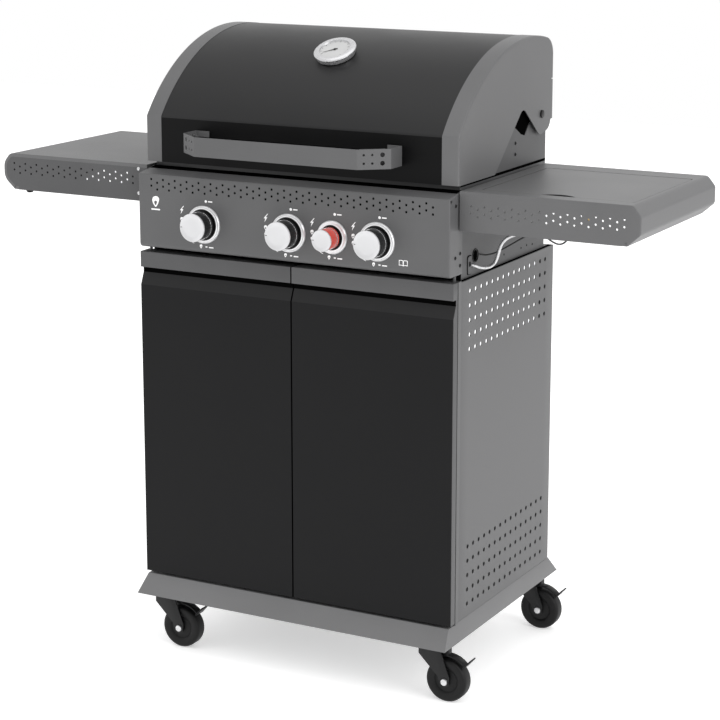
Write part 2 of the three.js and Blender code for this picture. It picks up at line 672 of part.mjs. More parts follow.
const wireRoute = stretched([
  [0.0024, 84, -0.013], [0.0193, 85.5, -0.023], [0.0524, 93, -0.048], [0.0946, 107, -0.031],
  [0.1367, 124, 0.037], [0.1849, 143, 0.141], [0.2392, 160, 0.262], [0.2994, 173, 0.364],
  [0.3596, 183, 0.399], [0.4139, 192, 0.331], [0.4560, 201, 0.193], [0.4861, 212, 0.072],
  [0.5042, 224, 0.004], [0.5223, 236, 0.004], [0.5404, 247, 0.089], [0.5584, 256, 0.245],
  [0.5825, 262, 0.416], [0.6187, 264, 0.589], [0.6669, 261, 0.726], [0.7271, 252, 0.830],
  [0.7873, 240, 0.916], [0.8416, 226, 0.968], [0.8777, 212, 0.993],
]);
addPart('ignition_wire', tubeAlong(wireRoute, wire.diameter, wire.sides, 60), blackPlastic);

// ---- lid ---------------------------------------------------------------------------------
const bandTop = lidBottom + lid.band;
const crestY = lid.front + lid.crestSetback;
const arcZ = bandTop - Math.sqrt(lid.radius ** 2 - lid.crestSetback ** 2);
const cornerY = lidRear - lid.rearFillet;
const cornerZ = arcZ + Math.sqrt((lid.radius - lid.rearFillet) ** 2 - (cornerY - crestY) ** 2);
const startAngle = Math.atan2(bandTop - arcZ, -lid.crestSetback);
const endAngle = Math.atan2(cornerZ - arcZ, cornerY - crestY);
const rearBottom = lidBottom + lid.rearRise;
const lidPath = [
  [lid.front, lidBottom],
  ...arc(crestY, arcZ, lid.radius, startAngle, endAngle, 14),
  ...arc(cornerY, cornerZ, lid.rearFillet, endAngle, 0, 4).slice(1),
  [lidRear, rearBottom],
];
const capInner = lidHalf - lid.capWidth;
const dialAngle = Math.acos((lid.front + dial.atSetback - crestY) / lid.radius);
const dialNormal = [Math.cos(dialAngle), Math.sin(dialAngle)];
const dialFoot = [
  crestY + lid.radius * dialNormal[0], arcZ + lid.radius * dialNormal[1],
];

const placeOnDial = (geometry) => {
  geometry.rotateX(Math.PI / 2);
  geometry.rotateX(dialAngle - Math.PI / 2);
  geometry.translate(0, dialFoot[0], dialFoot[1]);
  return solid(geometry);
};

const makeLidShell = () => {
  const body = prismX(strip(lidPath, -sheet), -capInner + fit, capInner - fit);
  const hole = placeOnDial(new THREE.CylinderGeometry(
    dial.stem / 2 + 1, dial.stem / 2 + 1, 2 * cutPast, 16));
  return cut(body, hole);
};
addPart('lid_shell', makeLidShell(), lidPaint);

const capOutline = () => {
  const foot = lid.footRadius;
  const footY = lidRear - foot - lid.footInset;
  const round = lid.notchRound;
  const footZ = rearBottom + foot - 5;
  return [
    ...lidPath.slice(0, -1),
    [lidRear, rearBottom + 18],
    ...arc(lidRear - foot, footZ, foot, 0, -Math.PI / 2, 4).slice(1),
    ...arc(footY - round, footZ, foot, -Math.PI / 2, -0.75 * Math.PI, 3),
    [lid.notchAt + round, lidBottom + lid.notchPeak - 3],
    [lid.notchAt, lidBottom + lid.notchPeak],
    [lid.notchAt - round, lidBottom + lid.notchPeak - 3],
    [lid.notchStart + 12, lidBottom + 2.5],
    [lid.notchStart, lidBottom],
  ];
};

for (const [label, side] of sides) {
  const half = lidHalf;
  const plate = prismX(capOutline(), ...spanX(side, half - sheet, half));
  const rim = prismX(strip(lidPath, -sheet), ...spanX(side, capInner, half - sheet / 2));
  const slot = box(...spanX(side, capInner - 1, half - lid.slotEdge), cornerY, lidRear + cutPast,
    rearBottom - cutPast, lidBottom + lid.slotLift);
  const pinHoleTool = rod('x', lid.pinRadius + turnGap,
    ...spanX(side, half - cutPast, half + cutPast), pivot.y, pivot.z);
  addPart(`lid_end_cap_${label}`, cut(join(plate, rim), slot, pinHoleTool), greyPaint);
  const [h0, h1] = spanX(side, half + fit, half + 3);
  const [p0, p1] = spanX(side, fireHalf - sheet - 4, half + 2);
  addPart(`lid_pivot_${label}`, join(
    rod('x', lid.pinRadius, p0, p1, pivot.y, pivot.z),
    rod('x', lid.pinHead, h0, h1, pivot.y, pivot.z)), stainless);
}

const handleZ = bandTop - handle.drop;
addPart('lid_handle', (() => {
  const half = lidHalf - handle.fromEnd;
  const bar = half - handle.wingRun;
  const root = lid.front - fit;
  const foot = half - handle.footLength;
  const path = [
    [-foot, root], [-half, root],
    [-half, lid.front - handle.wingReach], [-bar, lid.front - handle.reach],
    [bar, lid.front - handle.reach], [half, lid.front - handle.wingReach],
    [half, root], [foot, root],
  ];
  const between = (near, far) => [
    ...offset(path, near).slice(2, 6), ...offset(path, far).slice(2, 6).reverse(),
  ];
  const top = handleZ + handle.height;
  return join(
    cut(prismZ(between(0, handle.thick), handleZ, top),
      prismZ(between(sheet, handle.thick - sheet), handleZ + sheet, top + cutPast)),
    prismZ(strip(path, sheet), handleZ, top));
})(), greyPaint);

addPart('thermometer', (() => {
  const r = dial.diameter / 2;
  const profile = [
    [0, -dial.stemDepth], [dial.stem / 2, -dial.stemDepth], [dial.stem / 2, fit + 0.2],
    [r - 6, fit + 0.2],
    [r - 2, 4], [r, dial.height - 3], [r - 2, dial.height], [0, dial.height],
  ];
  return placeOnDial(turned(profile, 24));
})(), chrome);

// ---- casters ---------------------------------------------------------------------------
const casterX = halfCabinet + base.sideFlare - caster.insetX;
const casterY = [baseOuter.bottom.y0 + caster.insetY, baseOuter.bottom.y1 - caster.insetY];
const wheelR = caster.wheelDiameter / 2;
const corners = [
  ['front_left', -casterX, casterY[0]], ['front_right', casterX, casterY[0]],
  ['rear_left', -casterX, casterY[1]], ['rear_right', casterX, casterY[1]],
];

for (const [label, x, y] of corners) {
  const axleX = x + caster.trail;
  const cheekIn = caster.wheelWidth / 2 + 1.5;
  const cheekOut = cheekIn + caster.cheek;
  const crownTop = baseBottom - fit - caster.plateGap;
  const crownBottom = caster.wheelDiameter + caster.shoulder;
  const crown = caster.crownHalf;
  const cheekShape = [
    [x - crown, crownTop], [x + crown, crownTop], [axleX + 9, wheelR + 8],
    [axleX + 8, wheelR - 6], [axleX, wheelR - 10], [axleX - 8, wheelR - 6],
    [axleX - 13, wheelR + 8], [x - crown, crownBottom],
  ];
  const cheeks = [[-cheekOut, -cheekIn], [cheekIn, cheekOut]].map(([a, b]) =>
    prismY(cheekShape, y + a, y + b));
  const fork = join(
    ...cheeks,
    box(x - crown, x + crown, y - cheekOut, y + cheekOut, crownBottom + 8, crownTop),
    rod('z', caster.headDiameter / 2 - 2, crownTop - 1, baseBottom - fit, x, y, 20),
    rod('y', caster.axleDiameter / 2, y - cheekOut - 2, y + cheekOut + 2, axleX, wheelR));
  addPart(`caster_fork_${label}`, fork, blackPlastic);

  const halfW = caster.wheelWidth / 2;
  const facet = wheelR / Math.cos(Math.PI / caster.sides);
  const edge = caster.tread;
  const tread = turned([
    [0, -halfW], [facet - edge, -halfW], [facet, -halfW + edge], [facet, halfW - edge],
    [facet - edge, halfW], [0, halfW],
  ], caster.sides);
  tread.rotateY(Math.PI / caster.sides);
  tread.translate(axleX, y, wheelR);
  addPart(`caster_wheel_${label}`, cut(solid(tread),
    rod('y', caster.axleDiameter / 2 + turnGap, y - cutPast, y + cutPast, axleX, wheelR)),
  blackPlastic);

  const leverX = x + crown + 1;
  const reach = wheelR + caster.brakeGap;
  const toDegrees = Math.PI / 180;
  const band = [
    ...arc(axleX, wheelR, reach, 100 * toDegrees, 42 * toDegrees, 5),
    ...arc(axleX, wheelR, reach + caster.cheek, 42 * toDegrees, 100 * toDegrees, 5),
  ];
  const [tipX, tipZ] = band[5];
  const tab = [
    [tipX - 2, tipZ - 1], [tipX + 2, tipZ - 1], [tipX + 14, tipZ + 13], [tipX + 12, tipZ + 14.5],
  ];
  addPart(`caster_brake_${label}`, join(
    box(leverX, leverX + caster.leverRun, y - caster.leverHalf, y + caster.leverHalf,
      reach + wheelR + 1, crownTop - 6),
    prismY(band, y - caster.leverHalf, y + caster.leverHalf),
    prismY(tab, y - caster.pedalHalf, y + caster.pedalHalf)), stainless);
}

// ---- origin: middle of the footprint, on the floor -----------------------------------
const bounds = new THREE.Box3().setFromObject(grill);
const middle = bounds.getCenter(new THREE.Vector3());
grill.position.set(-middle.x, -middle.y, -bounds.min.z);

export default grill;
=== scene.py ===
import json
import math

import bmesh
import bpy
import numpy as np
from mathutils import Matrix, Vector
from mathutils.geometry import delaunay_2d_cdt


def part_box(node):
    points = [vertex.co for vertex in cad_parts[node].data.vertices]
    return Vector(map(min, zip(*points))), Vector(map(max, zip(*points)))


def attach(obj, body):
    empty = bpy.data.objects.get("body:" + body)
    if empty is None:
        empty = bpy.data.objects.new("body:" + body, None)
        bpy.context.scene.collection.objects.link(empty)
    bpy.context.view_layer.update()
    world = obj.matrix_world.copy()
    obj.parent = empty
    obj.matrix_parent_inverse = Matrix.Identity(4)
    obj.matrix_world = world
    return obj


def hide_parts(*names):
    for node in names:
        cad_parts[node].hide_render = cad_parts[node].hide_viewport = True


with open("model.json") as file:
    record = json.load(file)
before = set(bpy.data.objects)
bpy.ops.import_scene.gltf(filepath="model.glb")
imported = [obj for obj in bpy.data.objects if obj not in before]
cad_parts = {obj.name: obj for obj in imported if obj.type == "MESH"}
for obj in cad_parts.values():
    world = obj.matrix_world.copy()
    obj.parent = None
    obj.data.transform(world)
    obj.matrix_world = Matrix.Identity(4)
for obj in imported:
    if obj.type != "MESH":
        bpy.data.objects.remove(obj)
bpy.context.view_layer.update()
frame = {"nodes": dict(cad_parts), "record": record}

scene = bpy.context.scene
nodes = frame["nodes"]
bodyOf = {node: body for body, members in frame["record"]["behaviour"]["bodies"].items()
          for node in members}

# Shapes are worked out in millimetres, with y counted from the front edge of the cabinet sides.
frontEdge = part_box("side_panel_left")[0][1] * 1000
deg = math.pi / 180
bothSides = (("left", -1), ("right", 1))
seam = 0.03  # plates stop this far short of the rims round them, so their skins stay separate


def span(node):
    low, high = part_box(node)
    shift = np.array([0, frontEdge, 0])
    return np.array(low) * 1000 - shift, np.array(high) * 1000 - shift


def middleOf(node):
    low, high = span(node)
    return (low + high) / 2


# How far a node's inner and outer faces lie from the middle plane.
def reachOf(node):
    low, high = span(node)
    return np.sort(np.abs([low[0], high[0]]))


def toMetres(points):
    return (np.asarray(points, float) + [0, frontEdge, 0]) / 1000


def placed(name, data):
    made = bpy.data.objects.new(name, data)
    scene.collection.objects.link(made)
    return made


# Camera and room.
view = {
    "place": (1.7821, -3.2541, 1.4295),
    "azimuth": 28.341, "elevation": 11.857,
    "lens": 106.9, "sensor": 36, "shiftY": -0.1, "clipEnd": 60,
}
room = {
    "aim": (0, 0, 0.6),
    "floorSize": 14, "floorColor": (0.9, 0.9, 0.9), "skyStrength": 1.0, "floorGlow": 0.4,
    "top": ((0.2, -0.3, 3.4), (2.8, 2.2), 16),
    "left": ((-3.0, -2.2, 1.7), (2.0, 2.4), 10),
    "right": ((3.2, -1.0, 1.7), (1.8, 2.4), 42),
    "back": ((0.0, 3.2, 2.2), (3.0, 1.6), 4),
}


def makeCamera():
    data = bpy.data.cameras.new("camera")
    data.lens = view["lens"]
    data.sensor_width = view["sensor"]
    data.shift_y = view["shiftY"]
    data.clip_end = view["clipEnd"]
    camera = placed("camera", data)
    camera.location = view["place"]
    camera.rotation_euler = (math.pi / 2 - view["elevation"] * deg, 0, view["azimuth"] * deg)
    scene.camera = camera


def makeRoom():
    world = bpy.data.worlds.new("softRoom")
    world.use_nodes = True
    sky = world.node_tree.nodes["Background"]
    sky.inputs["Color"].default_value = (1, 1, 1, 1)
    sky.inputs["Strength"].default_value = room["skyStrength"]
    scene.world = world
    for name in ("top", "left", "right", "back"):
        place, size, power = room[name]
        data = bpy.data.lights.new(f"light_{name}", "AREA")
        data.shape = "RECTANGLE"
        data.size, data.size_y = size
        data.energy = power
        lamp = placed(f"light_{name}", data)
        lamp.location = place
        aim = Vector(room["aim"]) - Vector(place)
        lamp.rotation_euler = aim.to_track_quat("-Z", "Y").to_euler()
    scene.view_settings.view_transform = "Standard"


makeCamera()
makeRoom()
print("camera and room")


noiseRange = (0.3, 0.7)  # most of a noise lies between these levels


# Materials: colour and roughness drift with a broad noise, and a fine noise gives the grain.
def newMaterial(name, color, roughness, metallic=0.0, spread=0.06, mottle=7.0,
                grain=1400.0, bump=0.12, roughSpread=0.06, stretch=(1, 1, 1), coat=0.0,
                specular=0.5):
    material = bpy.data.materials.new(name)
    material.use_nodes = True
    tree = material.node_tree

    # An input is either joined to another node's output or given a value.
    def fill(node, values):
        for key, value in values.items():
            if isinstance(value, bpy.types.NodeSocket):
                tree.links.new(value, node.inputs[key])
            else:
                node.inputs[key].default_value = value
        return node

    def added(kind, **values):
        return fill(tree.nodes.new(f"ShaderNode{kind}"), values)

    where = added("TexCoord").outputs["Object"]
    where = added("Mapping", Vector=where, Scale=stretch).outputs["Vector"]
    broad = added("TexNoise", Vector=where, Scale=mottle, Detail=4).outputs["Fac"]
    fine = added("TexNoise", Vector=where, Scale=grain, Detail=3).outputs["Fac"]
    ramp = added("ValToRGB", Fac=broad)
    for stop, level, share in zip(ramp.color_ramp.elements, noiseRange, (1 - spread, 1 + spread)):
        stop.position = level
        stop.color = (*[min(c * share, 1) for c in color], 1)
    total = fill(added("Math"), {0: broad, 1: fine})
    mean = fill(added("Math"), {0: total.outputs["Value"], 1: 0.5})
    mean.operation = "MULTIPLY"
    rough = fill(added("MapRange", Value=mean.outputs["Value"]), {
        "From Min": noiseRange[0], "From Max": noiseRange[1],
        "To Min": max(roughness - roughSpread, 0.02), "To Max": min(roughness + roughSpread, 1),
    })
    relief = added("Bump", Height=fine, Strength=bump, Distance=0.0004)
    fill(tree.nodes["Principled BSDF"], {
        "Metallic": metallic, "Coat Weight": coat, "Coat Roughness": 0.12,
        "Specular IOR Level": specular, "Base Color": ramp.outputs["Color"],
        "Roughness": rough.outputs["Result"], "Normal": relief.outputs["Normal"],
    })
    return material


shelfGrey = newMaterial("shelfGrey", (0.114, 0.114, 0.116), 0.44, 0.1, bump=0.14,
                        specular=0.3)
greyPowder = newMaterial("greyPowder", (0.099, 0.099, 0.101), 0.44, 0.1, bump=0.14,
                         specular=0.3)
# Painted shade: a darker copy of the grey paint for grey parts that lie more in shade: the door
# frames, the firebox side plates and tabs, and the left shelf's front.
shadedGrey = newMaterial("shadedGrey", (0.08, 0.08, 0.082), 0.46, 0.1, bump=0.14,
                        specular=0.26)
skirtGrey = newMaterial("skirtGrey", (0.145, 0.145, 0.147), 0.44, 0.1, bump=0.14,
                        specular=0.3)
shadowBlack = newMaterial("shadowBlack", (0.002, 0.002, 0.002), 0.9, bump=0.02,
                          specular=0.0)
blackPowder = newMaterial("blackPowder", (0.006, 0.006, 0.0065), 0.42, bump=0.12,
                          specular=0.14)
# Painted light: a lighter copy of the black paint for the doors' sloped tops, which face up into
# the top light.
litSlopeBlack = newMaterial("litSlopeBlack", (0.016, 0.016, 0.0165), 0.42, bump=0.12,
                         specular=0.14)
# Painted shade: a darker copy of the black paint for the lid's upright front band.
shadedBandBlack = newMaterial("shadedBandBlack", (0.003, 0.003, 0.0032), 0.42, bump=0.12,
                        specular=0.1)
lidPowder = newMaterial("lidPowder", (0.013, 0.013, 0.0135), 0.42, bump=0.12,
                        specular=0.22)
castIron = newMaterial("castIron", (0.012, 0.012, 0.0125), 0.7, spread=0.2, grain=500,
                       bump=0.6, specular=0.25)
enamel = newMaterial("enamel", (0.012, 0.012, 0.013), 0.34, 0.0, spread=0.15,
                     grain=260, bump=0.2, specular=0.3)
chrome = newMaterial("chrome", (0.78, 0.78, 0.79), 0.07, 1.0, spread=0.02, grain=300,
                     bump=0.01, roughSpread=0.03)
bezelMetal = newMaterial("bezelMetal", (0.74, 0.74, 0.75), 0.32, 0.6, spread=0.02,
                         mottle=20, grain=400, bump=0.02, roughSpread=0.04)
gaugeMetal = newMaterial("gaugeMetal", (0.56, 0.56, 0.57), 0.3, 0.75, spread=0.05,
                         mottle=160, grain=500, bump=0.06, roughSpread=0.08)
silverSatin = newMaterial("silverSatin", (0.6, 0.6, 0.61), 0.34, 0.6, spread=0.03,
                          mottle=30, grain=900, bump=0.04)
brushedSteel = newMaterial("brushedSteel", (0.5, 0.5, 0.5), 0.3, 1.0, spread=0.08,
                           mottle=60, grain=700, bump=0.1, stretch=(0.05, 1, 1))
zincSteel = newMaterial("zincSteel", (0.62, 0.62, 0.63), 0.28, 1.0, spread=0.1,
                        mottle=120, grain=900, bump=0.12)
darkSteel = newMaterial("darkSteel", (0.014, 0.014, 0.0145), 0.4, 0.6, spread=0.15,
                        mottle=90, grain=900, bump=0.1, specular=0.3)
blackPlastic = newMaterial("blackPlastic", (0.006, 0.006, 0.0064), 0.45,
                           spread=0.12, grain=1100, bump=0.16, specular=0.3)
tyreRubber = newMaterial("tyreRubber", (0.003, 0.003, 0.0032), 0.5, spread=0.16, mottle=30,
                         grain=700, bump=0.2, specular=0.25)
brass = newMaterial("brass", (0.3, 0.22, 0.11), 0.4, 1.0, spread=0.12, mottle=40,
                    grain=500, bump=0.15)
redPlastic = newMaterial("redPlastic", (0.62, 0.07, 0.05), 0.36, spread=0.05,
                         mottle=20, grain=800, bump=0.08, coat=0.2)
whitePrint = newMaterial("whitePrint", (0.88, 0.88, 0.88), 0.5, spread=0.05,
                         mottle=90, grain=900, bump=0.1)
dialWhite = newMaterial("dialWhite", (0.5, 0.5, 0.5), 0.35, 0.3, spread=0.04,
                        mottle=50, grain=600, bump=0.05, coat=0.8)
braidedHose = newMaterial("braidedHose", (0.6, 0.6, 0.61), 0.3, 0.7, spread=0.12,
                          mottle=300, grain=1000, bump=0.3)
wireJacket = newMaterial("wireJacket", (0.018, 0.018, 0.019), 0.42, spread=0.1, mottle=60,
                         grain=900, bump=0.1)
print("materials")


# Shape tools.
def alongX(a, b, t):
    return np.stack(np.broadcast_arrays(t, a, b), -1).astype(float)


def alongY(a, b, t):
    return np.stack(np.broadcast_arrays(a, t, b), -1).astype(float)


def alongZ(a, b, t):
    return np.stack(np.broadcast_arrays(a, b, t), -1).astype(float)


# Turns a flat shape into one that lies along x, on the right side of the cart or the left.
def sideways(side):
    return lambda a, b, t: alongX(a, b, t * side)


# How far along a path each of its points lies.
def distances(path):
    return np.concatenate([[0], np.cumsum(np.linalg.norm(np.diff(path, axis=0), axis=1))])


# Quads between neighbouring points of a grid, vertex number = row * columns + column.
def gridFaces(rows, columns, wrapRows=False, wrapColumns=False):
    i, j = np.meshgrid(np.arange(rows if wrapRows else rows - 1),
                       np.arange(columns if wrapColumns else columns - 1), indexing="ij")
    nextI, nextJ = (i + 1) % rows, (j + 1) % columns
    corners = [i * columns + j, i * columns + nextJ, nextI * columns + nextJ, nextI * columns + j]
    return np.stack(corners, -1).reshape(-1, 4)


# Side normals of a flat path, lengthened at corners so that a shifted path stays parallel.
def mitres(path):
    step = np.diff(path, axis=0)
    step /= np.linalg.norm(step, axis=1, keepdims=True)
    normal = np.stack([-step[:, 1], step[:, 0]], -1)
    total = np.vstack([normal[:1], normal[:-1] + normal[1:], normal[-1:]])
    total[1:-1] /= 2
    return total / (total ** 2).sum(1, keepdims=True)


def shifted(path, distance):
    path = np.asarray(path, float)
    return path + mitres(path) * distance


# Each corner becomes an arc that touches both of its sides.
def rounded(points, radius, steps=6, closed=False):
    points = np.asarray(points, float)
    count = len(points)
    radii = np.broadcast_to(radius, count)
    made = []
    for i in range(count):
        if (not closed and i in (0, count - 1)) or radii[i] <= 0:
            made.append(points[i][None])
            continue
        corner = points[i]
        back, ahead = points[i - 1] - corner, points[(i + 1) % count] - corner
        room = 0.49 * min(np.linalg.norm(back), np.linalg.norm(ahead))
        back, ahead = back / np.linalg.norm(back), ahead / np.linalg.norm(ahead)
        half = math.acos(max(-1.0, min(1.0, float(back @ ahead)))) / 2
        if half > 89.5 * deg:
            made.append(corner[None])
            continue
        reach = min(radii[i] / math.tan(half), room)
        size = reach * math.tan(half)
        middle = (back + ahead) / np.linalg.norm(back + ahead)
        centre = corner + middle * size / math.sin(half)
        first, last = corner + back * reach - centre, corner + ahead * reach - centre
        turn = math.pi - 2 * half
        f = np.linspace(0, 1, steps + 1)[:, None]
        made.append(centre + (np.sin((1 - f) * turn) * first + np.sin(f * turn) * last)
                    / math.sin(turn))
    return np.vstack(made)


def arcPoints(centre, radius, start, end, steps):
    angle = np.linspace(start, end, steps + 1)
    return np.stack([centre[0] + radius * np.cos(angle), centre[1] + radius * np.sin(angle)], -1)


def circle(centre, radius, sides=14):
    return arcPoints(centre, radius, 0, 2 * math.pi * (1 - 1 / sides), sides - 1)


def slotLoop(centre, length, width, upright=False, steps=6):
    # A rectangle with half-round ends.
    half = (length - width) / 2
    right = arcPoints((half, 0), width / 2, -math.pi / 2, math.pi / 2, steps)
    left = arcPoints((-half, 0), width / 2, math.pi / 2, 1.5 * math.pi, steps)
    loop = np.vstack([right, left])
    return (loop[:, ::-1] if upright else loop) + centre


def rectangle(a0, a1, b0, b1, radius=0.0):
    corners = np.array([(a0, b0), (a1, b0), (a1, b1), (a0, b1)], float)
    return rounded(corners, radius, 5, closed=True) if radius else corners


# Even-odd test of many points against one loop.
def inside(points, loop):
    x, y = points[:, :1], points[:, 1:]
    x0, y0 = loop[:, 0], loop[:, 1]
    x1, y1 = np.roll(x0, -1), np.roll(y0, -1)
    straddles = (y0 > y) != (y1 > y)
    slope = np.where(y1 == y0, 1, y1 - y0)
    crossing = x0 + (y - y0) / slope * (x1 - x0)
    return ((straddles & (x < crossing)).sum(1) % 2) == 1


# A flat sheet cut to its outline and holes: triangles, and the edges that border the metal.
def cutSheet(outline, holes=(), creases=()):
    loops = [np.asarray(outline, float), *[np.asarray(h, float) for h in holes]]
    points, edges, start = [], [], 0
    for loop in loops:
        number = np.arange(len(loop))
        points.append(loop)
        edges.append(np.stack([number, np.roll(number, -1)], -1) + start)
        start += len(loop)
    for crease in creases:
        points.append(np.asarray(crease, float))
        edges.append(np.array([[start, start + 1]]))
        start += 2
    given = [Vector(p) for p in np.vstack(points).tolist()]
    flat, _, faces, *_ = delaunay_2d_cdt(given, np.vstack(edges).tolist(), [], 0, 1e-6)
    flat = np.array([tuple(p) for p in flat])
    faces = np.array([f for f in faces if len(f) == 3])
    middle = flat[faces].mean(1)
    keep = inside(middle, loops[0])
    for hole in loops[1:]:
        keep &= ~inside(middle, hole)
    faces = faces[keep]
    ab, ac = (flat[faces[:, k]] - flat[faces[:, 0]] for k in (1, 2))
    faces = faces[np.abs(ab[:, 0] * ac[:, 1] - ab[:, 1] * ac[:, 0]) > 1e-9]
    used, faces = np.unique(faces, return_inverse=True)
    faces = faces.reshape(-1, 3)
    flat = flat[used]
    ways = np.vstack([faces[:, [0, 1]], faces[:, [1, 2]], faces[:, [2, 0]]])
    count = len(flat)
    border = ways[~np.isin(ways[:, 0] * count + ways[:, 1], ways[:, 1] * count + ways[:, 0])]
    return flat, faces, border


def thickened(outer, inner, faces, border):
    count = len(outer)
    walls = np.stack([border[:, 1], border[:, 0], border[:, 0] + count, border[:, 1] + count], -1)
    return np.vstack([outer, inner]), [faces, faces[:, ::-1] + count, walls]


# A flat plate: its outline between two levels.
def plateShell(outline, low, high, place, holes=()):
    flat, faces, border = cutSheet(outline, holes)
    a, b = flat.T
    return thickened(place(a, b, high), place(a, b, low), faces, border)


# A folded sheet: the blank's first coordinate runs along the folded path, the second along
# the straight direction, and the back skin lies one thickness to the path's right.
def foldedShell(path, low, high, thickness, place, holes=(), outline=None):
    path = np.asarray(path, float)
    length = distances(path)
    if outline is None:
        outline = rectangle(0, length[-1], low, high)
    creases = [((s, low - 1), (s, high + 1)) for s in length[1:-1]]
    flat, faces, border = cutSheet(outline, holes, creases)
    along = np.clip(flat[:, 0], 0, length[-1])
    segment = np.clip(np.searchsorted(length, along, side="right") - 1, 0, len(path) - 2)
    share = ((along - length[segment]) / (length[segment + 1] - length[segment]))[:, None]
    back = shifted(path, -thickness)
    skins = [edge[segment] * (1 - share) + edge[segment + 1] * share for edge in (path, back)]
    front, rear = (place(skin[:, 0], skin[:, 1], flat[:, 1]) for skin in skins)
    return thickened(front, rear, faces, border)


# A closed section of (t, depth) points carried along a flat path: depth is measured from the
# path to its right.
def sweptShell(path, section, place):
    path, section = np.asarray(path, float), np.asarray(section, float)
    depth = section[None, :, 1, None]
    flat = path[:, None] - mitres(path)[:, None] * depth
    points = place(flat[..., 0], flat[..., 1], section[None, :, 0]).reshape(-1, 3)
    rows, columns = len(path), len(section)
    ends = np.arange(columns)
    return points, [gridFaces(rows, columns, wrapColumns=True), ends[None, ::-1],
                    ends[None] + (rows - 1) * columns]


# A thin section of constant thickness under an open line of (t, depth) points.
def hollowSection(line, thickness):
    line = np.asarray(line, float)
    return np.vstack([line, shifted(line, thickness)[::-1]])


# A turned shape: (radius, height) points circle the axis; flutes wave the radius in and out.
def turnedShell(profile, centre, axis, sides=48, ring=False, flutes=0, fluteDepth=0.0):
    profile = np.asarray(profile, float)
    w = np.asarray(axis, float) / np.linalg.norm(axis)
    u = np.cross(w, [0, 0, 1] if abs(w[2]) < 0.9 else [1, 0, 0])
    u /= np.linalg.norm(u)
    v = np.cross(w, u)
    angle = 2 * np.pi * np.arange(sides) / sides
    around = np.cos(angle)[:, None] * u + np.sin(angle)[:, None] * v
    radius = profile[:, :1] - fluteDepth * (0.5 + 0.5 * np.cos(flutes * angle)) * (
        profile[:, :1] > 0.6 * profile[:, 0].max()) * (flutes > 0)
    points = np.asarray(centre, float) + profile[:, 1, None, None] * w + radius[..., None] * around
    faces = [gridFaces(len(profile), sides, wrapRows=ring, wrapColumns=True)]
    return points.reshape(-1, 3), faces


def joined(*shells):
    points, faces, start = [], [], 0
    for shellPoints, shellFaces in shells:
        points.append(shellPoints)
        faces += [block + start for block in shellFaces]
        start += len(shellPoints)
    return np.vstack(points), faces


def moved(shell, offset):
    return shell[0] + np.asarray(offset, float), shell[1]


# Shared points are merged. Then flat neighbours are joined, or closed skins are turned to face
# outwards.
def settle(mesh, flatten=False):
    work = bmesh.new()
    work.from_mesh(mesh)
    bmesh.ops.remove_doubles(work, verts=work.verts, dist=1e-6)
    if flatten:
        bmesh.ops.dissolve_limit(work, angle_limit=0.5 * deg, verts=work.verts, edges=work.edges)
    else:
        bmesh.ops.recalc_face_normals(work, faces=work.faces)
    work.to_mesh(mesh)
    work.free()


def addBevel(piece, width, segments=2):
    bevel = piece.modifiers.new("bevel", "BEVEL")
    bevel.width = width / 1000
    bevel.segments = segments
    bevel.limit_method = "ANGLE"
    bevel.angle_limit = 38 * deg
    bevel.harden_normals = True


def bound(piece, body, replaced):
    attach(piece, body)
    if replaced:
        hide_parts(*replaced)


def newPiece(name, shell, material, body="cart", replaced=(), bevel=0.0):
    points, faces = shell
    mesh = bpy.data.meshes.new(name)
    mesh.from_pydata(toMetres(points).tolist(), [], [f for block in faces for f in block.tolist()])
    settle(mesh)
    mesh.shade_smooth()
    mesh.materials.append(material)
    piece = placed(name, mesh)
    if bevel:
        addBevel(piece, bevel)
    else:
        mesh.set_sharp_from_angle(angle=34 * deg)
    bound(piece, body, replaced)


# A copy of a CAD node, merged into clean faces, with its edges rounded.
def softened(node, material, width=0.6, segments=2):
    mesh = nodes[node].data.copy()
    settle(mesh, flatten=True)
    mesh.materials.clear()
    mesh.materials.append(material)
    mesh.shade_smooth()
    piece = placed(f"{node}_soft", mesh)
    addBevel(piece, width, segments)
    bound(piece, bodyOf[node], (node,))


# A smooth curve through given points: a cubic between each two, whose slope at a point is half
# the step from the point before it to the point after it.
def throughPoints(points, perSpan=6):
    points = np.asarray(points, float)
    ends = np.vstack([2 * points[0] - points[1], points, 2 * points[-1] - points[-2]])
    p0, p1, p2, p3 = ends[:-3, None], ends[1:-2, None], ends[2:-1, None], ends[3:, None]
    f = (np.arange(perSpan) / perSpan)[None, :, None]
    curve = 0.5 * (2 * p1 + (p2 - p0) * f + (2 * p0 - 5 * p1 + 4 * p2 - p3) * f ** 2
                   + (3 * p1 - p0 - 3 * p2 + p3) * f ** 3)
    return np.vstack([curve.reshape(-1, 3), points[-1:]])


# Hose and ignition wire, held at both ends.
hose = {
    "diameter": 6,
    "route": [
        (295.9, 50, 740), (299, 50.6, 739.6), (303, 53.5, 738), (307, 61, 735), (311, 71, 733),
        (315, 82, 733), (318.5, 91, 737), (321, 96, 744), (323.5, 97, 753), (327, 95, 763),
        (332, 93, 772), (339, 93, 780), (349, 96, 786), (362, 102, 790), (377, 111, 792),
        (392, 121, 793), (407, 131, 795), (420, 138, 799), (430, 142.5, 804),
    ],
}
wire = {
    "diameter": 3,
    "route": [
        (295.7, 84, 752), (298.5, 85.5, 751.5), (304, 93, 750), (311, 107, 751), (318, 124, 755),
        (326, 143, 761), (335, 160, 768), (345, 173, 774), (355, 183, 776), (364, 192, 772),
        (371, 201, 764), (376, 212, 757), (379, 224, 753), (382, 236, 753), (385, 247, 758),
        (388, 256, 767), (392, 262, 777), (398, 264, 787), (406, 261, 795), (416, 252, 801),
        (426, 240, 806), (435, 226, 809), (441, 212, 810.5),
    ],
}


